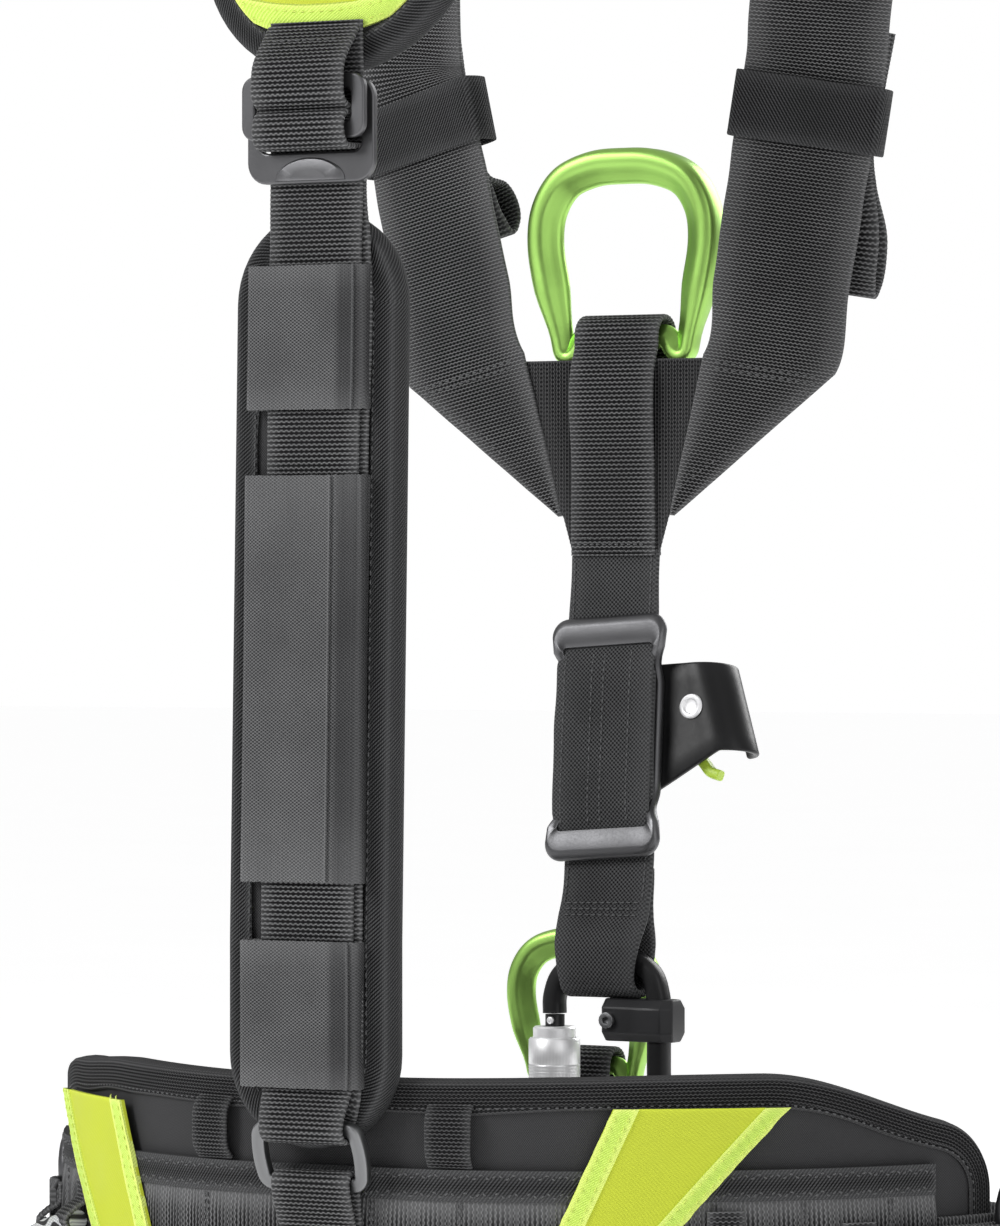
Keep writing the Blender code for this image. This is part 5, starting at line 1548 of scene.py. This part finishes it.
def sternal_loop():
    back = CHEST_Y - WEBBING_THICK - GAP
    front = CHEST_Y + WEBBING_THICK + GAP
    turn = STERNAL_WIRE / 2 + RING_PLAY + WEBBING_THICK / 2
    shape = [(back, 303), (back, 340), (back, 389.5), (STERNAL_BAR.y - turn, STERNAL_BAR.z - 4)]
    shape += arc((STERNAL_BAR.y, STERNAL_BAR.z), turn, 180, 0, 8)
    shape += [(STERNAL_BAR.y + turn - 1.0, 388), (front + 4.0, 364), (front, 345), (front, 303)]
    loop_over_bar("sternal_webbing", "sternal_loop", shape, 43.0, 0.0, WEBBING_LOOK)
    paths = []
    for z in (305.0, 308.0, 311.0):
        for y, way in ((back - 1.45, -1), (front + 1.45, 1)):
            paths.append(([(x, y, z) for x in span(-18.5, 18.5, 4.0)], Vector((0, way, 0))))
    threads("sternal_stitches", paths, THREAD_LOOK, "harness", 2.2, 1.0, 0.42)


CHEST_THICK = 4.0
CARABINER_X = 11.0
CARABINER_Y = 92.0
CHEST_TOP = Vector((0, CHEST_Y, 304))
CHEST_LOW = Vector((CARABINER_X, CARABINER_Y - 1.4, 142))
CHEST_WAY = (Vector((0, CHEST_Y, 299)) - CHEST_LOW).normalized()
CHEST_OUT = Vector((1, 0, 0)).cross(CHEST_WAY)


def chest_strap():
    """Covered webbing, with a crumpled loop at its low end for the carabiner."""
    second = Vector((0, CHEST_THICK + GAP, 0))
    line = [CHEST_TOP, CHEST_TOP.lerp(CHEST_LOW, 0.5), CHEST_LOW]
    turn = 7.8
    low = [(-turn, 128)] + arc((0, 114.8), turn, 195, 345, 8) + [(turn, 128)]
    line += [Vector((CARABINER_X, CARABINER_Y + y, z)) for y, z in low]
    line.append(CHEST_LOW + second + Vector((0, 1.2, 0)))
    line.append(CHEST_LOW.lerp(CHEST_TOP, 0.12) + second)
    widths = [WEBBING - 7.0 * (1 - ease((point.z - 118) / 16)) for point in line]
    strap = Strap(line, (1, 0, 0), widths, CHEST_THICK, spacing=0.75)
    piece = strap.build("chest_webbing", COVER_LOOK, "harness", 2.2, 0.03, 0.6)
    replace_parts(piece, "chest_strap")
    reach = strap.length_near(CHEST_LOW)
    face = -CHEST_THICK / 2 - 0.3
    paths = []
    for across in (-19.6, 19.6):
        paths.append(([strap.at(u, across, -face) for u in span(3, reach - 4, 6.0)], -CHEST_OUT))
        paths.append(([strap.at(u, across, face) for u in span(3, reach - 4, 6.0)], CHEST_OUT))
    for back in (-1.0, 2.0, 5.0):
        for out in (-1, 1):
            places = [strap.at(reach - back, x, face * out) for x in span(-19, 19, 4.0)]
            paths.append((places, CHEST_OUT * out))
    threads("chest_stitches", paths, THREAD_LOOK, "harness", 2.2, 1.2, 0.4)


def chest_cover(place):
    """A padded sleeve on the strap between the ascender's end bars, sewn along its length."""
    shape = ((2.4, -42.2), (4.0, -34), (4.6, -12), (4.6, 12), (4.0, 34), (2.4, 42.2))
    line = [place.at(-1.2, out, c) for out, c in shape]
    strap = Strap(line, CHEST_OUT.cross(CHEST_WAY), [47.0, 49.5, 49.5, 49.5, 49.5, 47.0], 2.4, spacing=0.75)
    strap.build("chest_cover", COVER_LOOK, "harness", 2.2, 0.03, 0.8)
    paths = []
    for across in (-13.5, 0.0, 6.0, 20.0):
        places = [strap.at(u, across, 1.35) for u in span(3, strap.lengths[-1] - 3, 6.0)]
        paths.append((places, CHEST_OUT))
    threads("cover_stitches", paths, THREAD_LOOK, "harness", 2.4, 1.2, 0.4)


# ---- chest ascender ----
ASCENDER_MIDDLE_Z = 220.5
ASCENDER_TALL = 55.5
FRAME_BAR = 14.0
FRAME_STEEL = 3.0
CAM_PIVOT = (41.0, 13.5)
CHANNEL_RADIUS = 12.0
RAIL_OUT = -CHEST_THICK / 2 - GAP - FRAME_STEEL / 2
BAR_OUT = CHEST_THICK / 2 + GAP + FRAME_STEEL / 2
BODY_OUT = RAIL_OUT - FRAME_STEEL - GAP
CHANNEL_CENTRE = (53.0, BODY_OUT - CHANNEL_RADIUS)


def ascender_place():
    rise = (ASCENDER_MIDDLE_Z - CHEST_LOW.z) / CHEST_WAY.z
    return Place(CHEST_LOW + CHEST_WAY * rise, CHEST_WAY.cross(CHEST_OUT), CHEST_OUT, CHEST_WAY)


def rail_outline(half, tall, corner):
    """A rounded rectangle, as (across, along), with points along its rails where the frame bends."""
    points = []
    for sx, start in ((1, 0), (-1, 180)):
        points += [(sx * half, sx * c) for c in range(-40, 41, 2)]
        points += arc((sx * (half - corner), sx * (tall - corner)), corner, start, start + 90, 8)
        points += [(sx * x, sx * tall) for x in (half * 0.35, 0.0, -half * 0.35)]
        points += arc((-sx * (half - corner), sx * (tall - corner)), corner, start + 90, start + 180, 8)
    return points


def ascender_frame(place):
    """Crowned end bars on one side of the strap, and pinched rails that pass to the other side."""
    def bend(c):
        return BAR_OUT + (RAIL_OUT - BAR_OUT) * ease((ASCENDER_TALL - FRAME_BAR - abs(c)) / 18.0)

    def pinch(outline):
        waist = ASCENDER_TALL - FRAME_BAR + 2.0
        return [(a - math.copysign(4.6, a) * ease((waist - abs(c)) / 13.0), c) for a, c in outline]

    outer = pinch(rail_outline(29.0, ASCENDER_TALL, 8.0))
    inner = pinch(rail_outline(WEBBING / 2 + 1.2, ASCENDER_TALL - FRAME_BAR, 2.5))
    profile = [(0.0, 0.0), (0.02, 0.22), (0.10, 0.50), (0.26, 0.78), (0.34, 0.82), (0.80, 0.66)]
    profile += [(0.96, 0.42), (1.0, 0.1), (1.0, -0.3), (0.93, -0.5), (0.07, -0.5), (0.0, -0.3)]
    rings = []
    for share, rise in profile:
        ring = []
        for (a, c), (d, f) in zip(outer, inner):
            along = c + (f - c) * share
            ring.append(place.at(a + (d - a) * share, bend(along) + rise * FRAME_STEEL, along))
        rings.append(ring)
    frame_piece = skin("ascender_frame_bars", rings, DARK_METAL_LOOK, "harness", True, 35.0)
    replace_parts(frame_piece, "ascender_frame")


def ascender_body(place):
    """A folded plate whose far edge rolls into the rope channel, with a flared lower lip."""
    shape = [(-18.0, BODY_OUT), (10, BODY_OUT), (24, BODY_OUT), (34, BODY_OUT), (44, BODY_OUT)]
    shape += arc(CHANNEL_CENTRE, CHANNEL_RADIUS, 90, -70, 16)[1:]
    flat, = smooth_line([Vector((a, b, 0)) for a, b in shape], 1.0)
    rings = []
    for point, along in zip(flat, tangents(flat)):
        reach = ease((point.x - 20) / 36)
        high = 24.0 + 10.0 * ease((point.x + 18) / 30)
        low = -31.0 + 24.0 * max(0.0, min(1.0, (point.x - 8) / 46))
        normal = Vector((-along.y, along.x, 0))
        section = rounded_section(high - low, FRAME_STEEL, 1.1, 3, 6)
        middle = (high + low) / 2
        ring = []
        for x, y in section:
            spot = point + normal * y
            shear = reach * (2.0 + 0.30 * (middle + x - low))
            ring.append(place.at(spot.x - shear, spot.y, middle + x))
        rings.append(ring)
    body = bevelled(skin("ascender_shell", rings, BLACK_METAL_LOOK, "harness", False, 35.0), 0.6)
    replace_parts(body, "ascender_body")


def turned(name, centre, axis, profile, look, body, steps=48, closed=False):
    """A turned piece: its profile is (along the axis, radius)."""
    way = Vector(axis).normalized()
    side = way.orthogonal().normalized()
    other = way.cross(side)
    rings = []
    for at, radius in profile:
        rings.append(circle(centre + way * at, side, other, radius, steps))
    return skin(name, rings, look, body, closed, 28.0)


def eyelet(place):
    """The cam axle's flanged head: a raised ring round a dished middle."""
    face = BODY_OUT + FRAME_STEEL / 2
    centre = place.at(CAM_PIVOT[0] - 3.0, face, CAM_PIVOT[1])
    profile = [(-20.5, 2.9), (0.1, 2.95), (0.15, 5.4), (0.7, 5.7), (1.3, 5.3), (1.6, 4.4)]
    profile += [(1.4, 3.6), (0.7, 3.1), (0.4, 2.2), (0.35, 0.8)]
    piece = turned("axle_eyelet", centre, place.out, profile, SILVER_LOOK, "harness")
    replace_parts(piece, "ascender_axle")


def catch_lever(place):
    """The end of the lever that holds the cam open, just below the body's lower edge."""
    shape = [(30, -2.0), (36, -6.0), (41, -11.0), (45, -15.5), (49.5, -17.2)]
    line = [place.at(a, BODY_OUT - 7.0, c) for a, c in shape]
    lever = wire("catch_lever", line, place.out, soft_section(5.0, 6.5, 3.2), CATCH_LOOK, "catch", False)
    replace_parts(bevelled(lever, 0.5, 2), "ascender_catch")


def ascender():
    place = ascender_place()
    chest_cover(place)
    catch_lever(place)
    ascender_frame(place)
    ascender_body(place)
    eyelet(place)


# ---- carabiner ----
def at_carabiner(x, y, z):
    return Vector((CARABINER_X + x, CARABINER_Y + y, z))


GATE_X = -26.0
SPINE_X = 27.5


def carabiner_body():
    """The open C of the carabiner, from its nose over the top and down the spine to the gate's hinge."""
    path = [(-25.8, 97.4), (-25.6, 105), (-22, 114), (-13, 120.4), (0, 122.6), (14, 121.6), (23.4, 116)]
    path += [(27, 107), (SPINE_X, 99), (SPINE_X, 74), (SPINE_X, 47), (23.5, 33), (12, 25), (0, 23)]
    path += [(-12, 24.5), (-22, 31), (GATE_X, 41.4)]
    line = curve_through([at_carabiner(x, 0, z) for x, z in path], steps=4)
    section = soft_section(10, 10, 2.8, 24)
    bow = wire("carabiner_bow", line, (0, 1, 0), section, BLACK_METAL_LOOK, "carabiner", False)
    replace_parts(bow, "carabiner_body")


def gate_collar():
    """A smooth turned sleeve with a chamfer at each end and a fine groove."""
    centre = at_carabiner(GATE_X, 0, 76.0)
    profile = [(-15.5, 4.95), (-15.5, 8.9), (-14.9, 9.6), (8.0, 9.6), (8.3, 9.3), (9.1, 9.3), (9.4, 9.6)]
    profile += [(14.7, 9.6), (15.5, 8.8), (15.5, 4.95)]
    piece = turned("collar_sleeve", centre, (0, 0, 1), profile, SILVER_LOOK, "collar", 64, True)
    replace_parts(piece, "gate_collar")


def gate_grip():
    """A sleeve whose outside is knurled with crossed grooves below a plain upper part."""
    centre = at_carabiner(GATE_X, 0, 65.5)
    steps = 96
    rings = []
    heights = [-15.5, -15.5, -14.8, -13.6] + span(-13.2, 9.0, 0.55) + [9.4, 20.0, 20.9, 20.9]
    radii = [10.0, 10.9, 11.6, 11.6] + [0.0] * (len(heights) - 8) + [11.6, 11.6, 10.9, 10.0]
    for height, radius in zip(heights, radii):
        ring = []
        for k in range(steps):
            turn = 2 * math.pi * k / steps
            reach = radius
            if not radius:
                fold = math.cos(24 * turn + height * 2.3) * math.cos(24 * turn - height * 2.3)
                reach = 11.45 + 0.28 * fold
            ring.append(centre + Vector((reach * math.cos(turn), reach * math.sin(turn), height)))
        rings.append(ring)
    piece = skin("grip_sleeve", rings, SILVER_LOOK, "grip", True, 50.0)
    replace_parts(piece, "gate_grip")


def accessory_clip():
    """The plastic clip round the spine, with facets above and below."""
    half = [(1, 5), (3, 8), (17, 8.5), (22, 10), (33, 10), (37.5, 6)]
    outline = half + [(x, -y) for x, y in reversed(half)]
    rings = []
    for z, share in ((86.0, 0.62), (90.0, 1.0), (101.0, 1.0), (105.0, 0.62)):
        rings.append([at_carabiner(19 + (x - 19) * (0.86 + 0.14 * share), y * share, z) for x, y in outline])
    clip = skin("clip_shell", rings, CLIP_LOOK, "carabiner", False, 20.0)
    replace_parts(bevelled(clip, 0.6, 2), "carabiner_clip")


def carabiner():
    carabiner_body()
    accessory_clip()
    gate_collar()
    gate_grip()


# ---- front of the waist ----
def ventral_tab():
    turn = VENTRAL_WIRE / 2 + RING_PLAY + WEBBING_THICK / 2
    bar_y, bar_z = VENTRAL_BAR.y, VENTRAL_BAR.z
    shape = [(87.4, -45), (87.4, -12), (92, 0), (103.5, 12), (110, 34), (bar_y - turn - 0.6, 56)]
    shape += arc((bar_y, bar_z), turn, 180, 0, 8)
    shape += [(bar_y + turn - 1, 50), (120, 26), (108, 2), (93.5, -14), (90.2, -24), (90.2, -45)]
    loop_over_bar("ventral_webbing", "ventral_tab", shape, 34.0, VENTRAL_BAR.x, WEBBING_LOOK)
    paths = []
    for z in (-28.0, -32.0, -38.0, -42.0):
        places = [(VENTRAL_BAR.x + x, 91.75, z) for x in span(-14, 14, 4.0)]
        paths.append((places, Vector((0, 1, 0))))
    threads("ventral_stitches", paths, THREAD_LOOK)


def bridge_loop():
    front = FRONT_PLAN[-1][1]
    shape = [(front - 1.2, -22), (front - 1.2, 0), (front - 1.2, 20), (83.4, 33), (90, 40.6), (99, 39.4)]
    shape += [(105.2, 31), (105.2, 15), (98, 0), (90.5, -14), (88.2, -24), (84.4, -27.6)]
    strap = Strap([(CARABINER_X + 5.5, y, z) for y, z in shape], (1, 0, 0), 19.0, 2.0, True)
    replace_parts(strap.build("bridge_webbing", SMOOTH_LOOK, rib=1.6), "bridge_loop")


WAIST_OFF = GAP + WEBBING_THICK / 2
WAIST_START = BAND_END + 2.0
WAIST_BUCKLE_X = 76.0


def waist_buckle_length():
    s = PAD_END
    while belt_point(s, 0, 0).x > WAIST_BUCKLE_X or belt_point(s, 0, 0).y < 0:
        s += 0.5
    return s


def waist_front():
    """Webbing from both wings to the front buckle: the left side folds round it, the right side rolls."""
    middle = waist_buckle_length()
    place = Place(belt_point(middle, 0, WAIST_OFF + 3.6), (0, 0, 1), belt_out(middle), belt_along(middle))
    left = [belt_point(s, 0, WAIST_OFF) for s in span(-WAIST_START, middle + 56.0 - BELT_LENGTH, 12.0)]
    left += [place.at(0, b, c) for b, c in fold_round_top_bars()]
    right = [belt_point(s, 0, WAIST_OFF) for s in span(WAIST_START, middle - 60.0, 12.0)]
    right += [place.at(0, b, c) for b, c in roll_round_slide_bar()]
    right.append(place.at(0, -3.4, -38.0))
    for name, line in (("left", left), ("right", right)):
        strap = Strap(line, (0, 0, 1))
        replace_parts(strap.build(f"waist_strap_{name}", WEBBING_LOOK, wave=0.4), f"waist_webbing_{name}")
    buckle("waist", place, "harness", "waist_slide")


# ---- leg loops ----
LEG_X = 112.0
LEG_Y = 5.0
LEG_RADIUS = 92.0
LEG_Z = -185.0
LEG_TILT = 0.35
LEG_PAD_HEIGHT = 70.0
LEG_PAD_THICK = 10.0
LEG_OUTSIDE = LEG_RADIUS + LEG_PAD_THICK / 2 + 6 * GAP + 1.5 * WEBBING_THICK


def leg_point(side, angle, radius, rise=0.0):
    """A point on a leg loop. The angle starts at the front and turns outwards over the hip."""
    turn = math.radians(angle)
    x = LEG_X + radius * math.sin(turn)
    y = LEG_Y + radius * math.cos(turn)
    return Vector((side * x, y, LEG_Z + LEG_TILT * (y - LEG_Y) + rise))


def leg_half(angle):
    edge = min(angle - 60.0, 300.0 - angle)
    return LEG_PAD_HEIGHT / 2 * (0.72 + 0.28 * ease(edge / 24.0))


def leg_pad(name, side):
    """A curved pad with bound edges, blown up as cloth."""
    rings = []
    for angle in span(62.0, 298.0, 6.0):
        section = rounded_section(LEG_PAD_THICK - 2.4, 2 * leg_half(angle) - 3, 3.0)
        rings.append([leg_point(side, angle, LEG_RADIUS + x, z) for x, z in section])

    def is_outer(place, normal):
        return (place.x - side * LEG_X) * normal.x + (place.y - LEG_Y) * normal.y > 0

    def channels(place):
        rise = place.z - LEG_Z - LEG_TILT * (place.y - LEG_Y)
        return groove(min(abs(rise - z) for z in (-18.0, 0.0, 18.0)), 1.6, 2.2)

    pad = padded(f"leg_body_{name}", rings, PAD_LOOK, LINING_LOOK, "harness", is_outer, 0.8, 3.0, channels)
    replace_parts(pad, f"leg_pad_{name}")
    arc_length = math.radians(1) * LEG_RADIUS

    def place(a, b, out):
        return leg_point(side, a / arc_length, LEG_RADIUS + LEG_PAD_THICK / 2 + out, b)

    angles = span(60.0, 300.0, 3.0)
    top = [(angle * arc_length, leg_half(angle)) for angle in angles]
    bottom = [(angle * arc_length, -leg_half(angle)) for angle in reversed(angles)]
    rim = even_rim(top + bottom, 2.2)
    bind_rim(f"leg_binding_{name}", rim, place, LEG_PAD_THICK, 10.0, TWILL_LOOK)
    out = lambda p: Vector((p.x - side * LEG_X, p.y - LEG_Y, 0))
    threads(f"leg_stitches_{name}", [(rim_path(rim, place, 8.6, 1.4), out)], THREAD_LOOK, gap=1.6)


def leg_straps(name, side):
    radius = LEG_RADIUS + LEG_PAD_THICK / 2 + 3 * GAP + WEBBING_THICK / 2
    line = [leg_point(side, angle, radius) for angle in span(0.0, 350.0, 10.0)]
    strap = Strap(line, (0, 0, 1), closed=True)
    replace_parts(strap.build(f"leg_strap_{name}", WEBBING_LOOK, wave=0.4), f"leg_webbing_{name}")
    s = belt_length_at(104.0)
    rear = leg_point(side, 182.0, LEG_OUTSIDE)
    line = [belt_point(side * s, z, GAP + 1.2) for z in (-36.0, -56.0, -76.0)]
    line += [rear + Vector((0, y, z)) for y, z in ((-4, 78), (-0.6, 36), (-0.7, 14), (0, 0))]
    ways = [belt_along(side * s)] * 3 + [Vector((1, -0.1 * side, 0))] + [Vector((1, 0, 0))] * 3
    strap = Strap(line, ways, 25.0)
    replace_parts(strap.build(f"leg_riser_{name}", WEBBING_LOOK, rib=2.0), f"leg_hanger_{name}")
    paths = []
    for u in (3.0, 6.0, 30.0, 33.0):
        paths.append(([strap.at(u, x, 1.5) for x in span(-10, 10, 4.0)], strap.outs[0]))
        end = strap.lengths[-1] - u / 2
        paths.append(([strap.at(end, x, 1.5) for x in span(-10, 10, 4.0)], strap.outs[-1]))
    threads(f"leg_riser_stitches_{name}", paths, THREAD_LOOK)


def leg_bridge():
    """One webbing strap between the fronts of both leg loops, which passes under the ventral tab."""
    ends = [leg_point(1, angle, LEG_OUTSIDE + 2.0) for angle in (-25.0, -17.0, -9.0)]
    middle = [(VENTRAL_BAR.x - 15, 93.6, -64), (VENTRAL_BAR.x + 15, 93.6, -64)]
    line = [flip(p, -1) for p in reversed(ends)] + [(-44, 103, -112)] + middle + [(36, 103, -112)] + ends
    slant = Vector((-1, 0, 0.6))
    across = [(0, 0, 1)] * 3 + [slant, (-0.15, 0, 1), (0.15, 0, 1), flip(slant, -1)] + [(0, 0, 1)] * 3
    strap = Strap(curve_through(line, 3), curve_through(across, 3), 25.0)
    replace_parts(strap.build("leg_bridge_webbing", WEBBING_LOOK, rib=2.0), "leg_bridge")


# ---- hard pieces that keep the frame's own shape ----
def keep_node(node, look, width):
    """Gives a frame node its finish and rounds its edges."""
    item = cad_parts[node]
    item.data.materials.clear()
    item.data.materials.append(look)
    for face in item.data.polygons:
        face.use_smooth = True
    weld = item.modifiers.new("joined_corners", "WELD")
    weld.merge_threshold = 0.00002
    bevelled(item, width)


def kept_pieces():
    keep_node("ascender_cam", SILVER_LOOK, 0.35)
    keep_node("carabiner_gate", BLACK_METAL_LOOK, 0.5)
    keep_node("clip_screw", LINK_METAL_LOOK, 0.3)
    keep_node("gate_rivet", SILVER_LOOK, 0.4)


# ---- stage, light and camera ----
FLOOR_HALF = 30.0
SKY_STRENGTH = 0.62
CAMERA_TARGET = Vector((7.4, 4.3, 277.0))
CAMERA_TURN = 30  # degrees from straight behind, towards the wearer's right
CAMERA_LENS = 201.8
CAMERA_DISTANCE = 3.0  # metres


def stage_floor():
    low = cad_box[0].z - 0.002
    corners = [(-FLOOR_HALF, -FLOOR_HALF), (FLOOR_HALF, -FLOOR_HALF)]
    corners += [(FLOOR_HALF, FLOOR_HALF), (-FLOOR_HALF, FLOOR_HALF)]
    mesh = bpy.data.meshes.new("floor")
    mesh.from_pydata([(x, y, low) for x, y in corners], [], [(0, 1, 2, 3)])
    mesh.materials.append(floor_look("pale_floor"))
    floor = bpy.data.objects.new("floor", mesh)
    bpy.context.scene.collection.objects.link(floor)


def area_light(name, place, target, size, power):
    light = bpy.data.lights.new(name, "AREA")
    light.shape = "DISK"
    light.size = size
    light.energy = power
    item = bpy.data.objects.new(name, light)
    item.location = place
    item.rotation_euler = (Vector(target) - Vector(place)).to_track_quat("-Z", "Y").to_euler()
    bpy.context.scene.collection.objects.link(item)


def lights():
    """A white backdrop for the camera, and a dimmer sky and three lamps that light the pieces."""
    world = bpy.data.worlds.new("soft_sky")
    world.use_nodes = True
    tree = world.node_tree
    backdrop = tree.nodes["Background"]
    backdrop.inputs["Color"].default_value = (1, 1, 1, 1)
    sky = tree.nodes.new("ShaderNodeBackground")
    sky.inputs["Strength"].default_value = SKY_STRENGTH
    height = tree.nodes.new("ShaderNodeSeparateXYZ")
    tree.links.new(tree.nodes.new("ShaderNodeTexCoord").outputs["Generated"], height.inputs[0])
    fade = tree.nodes.new("ShaderNodeValToRGB")
    fade.color_ramp.elements[0].position = 0.0
    fade.color_ramp.elements[0].color = (0.35, 0.35, 0.36, 1)
    fade.color_ramp.elements[1].position = 0.7
    fade.color_ramp.elements[1].color = (1, 1, 1, 1)
    tree.links.new(height.outputs["Z"], fade.inputs[0])
    tree.links.new(fade.outputs[0], sky.inputs["Color"])
    choose = tree.nodes.new("ShaderNodeMixShader")
    tree.links.new(tree.nodes.new("ShaderNodeLightPath").outputs["Is Camera Ray"], choose.inputs[0])
    tree.links.new(sky.outputs[0], choose.inputs[1])
    tree.links.new(backdrop.outputs[0], choose.inputs[2])
    tree.links.new(choose.outputs[0], tree.nodes["World Output"].inputs["Surface"])
    bpy.context.scene.world = world
    middle = (0, 0, 0.5)
    area_light("key_light", (-1.6, -2.4, 2.2), middle, 1.6, 72)
    area_light("fill_light", (2.6, -1.6, 1.2), middle, 2.0, 16)
    area_light("back_light", (0.6, 2.6, 1.8), middle, 1.8, 50)
    bpy.context.scene.view_settings.view_transform = "Standard"


def camera():
    """Level, from behind the wearer's right, at the height of the back strap's middle."""
    target = (BELT_CENTRE + CAMERA_TARGET) * MM
    turn = math.radians(CAMERA_TURN)
    lens = bpy.data.cameras.new("camera")
    lens.lens = CAMERA_LENS
    lens.sensor_width = 36
    item = bpy.data.objects.new("camera", lens)
    item.location = target + Vector((math.sin(turn), -math.cos(turn), 0)) * CAMERA_DISTANCE
    item.rotation_euler = (target - item.location).to_track_quat("-Z", "Y").to_euler()
    bpy.context.scene.collection.objects.link(item)
    bpy.context.scene.camera = item


def belt():
    belt_body()
    belt_edge()
    belt_bands()
    for name, side in SIDES:
        neon_panel(name, side)
        tool_loop(name, side)
        gear_loop(name, side)
        hip_tab(name, side)
        hip_ring(name, side)


def back_strap():
    dorsal_link()
    dorsal_anchor()
    dorsal_webbing()
    dorsal_pad()
    wraps()
    buckle("dorsal", DORSAL_PLACE, "harness", "dorsal_slide")
    buckle_crest("dorsal", DORSAL_PLACE)
    yoke_webbing()
    yoke_pad()
    yoke_cover()


def chest():
    for name, side, drop, shift in (("left", -1, 58.0, 3.5), ("right", 1, 78.0, 9.5)):
        shoulder_strap(name, side)
        strap_keeper(name, side)
        strap_tail(name, side, drop, shift)
    chest_backing()
    sternal_loop()
    harness_ring("sternal", STERNAL_BAR, STERNAL_WIRE, (1.0, 1.0))
    harness_ring("ventral", VENTRAL_BAR, VENTRAL_WIRE, VENTRAL_SCALE)
    chest_strap()
    ascender()
    carabiner()


def waist_and_legs():
    ventral_tab()
    bridge_loop()
    waist_front()
    for name, side in SIDES:
        leg_pad(name, side)
        leg_straps(name, side)
    leg_bridge()


belt()
back_strap()
chest()
waist_and_legs()
kept_pieces()
stage_floor()
lights()
camera()

bpy.context.view_layer.update()
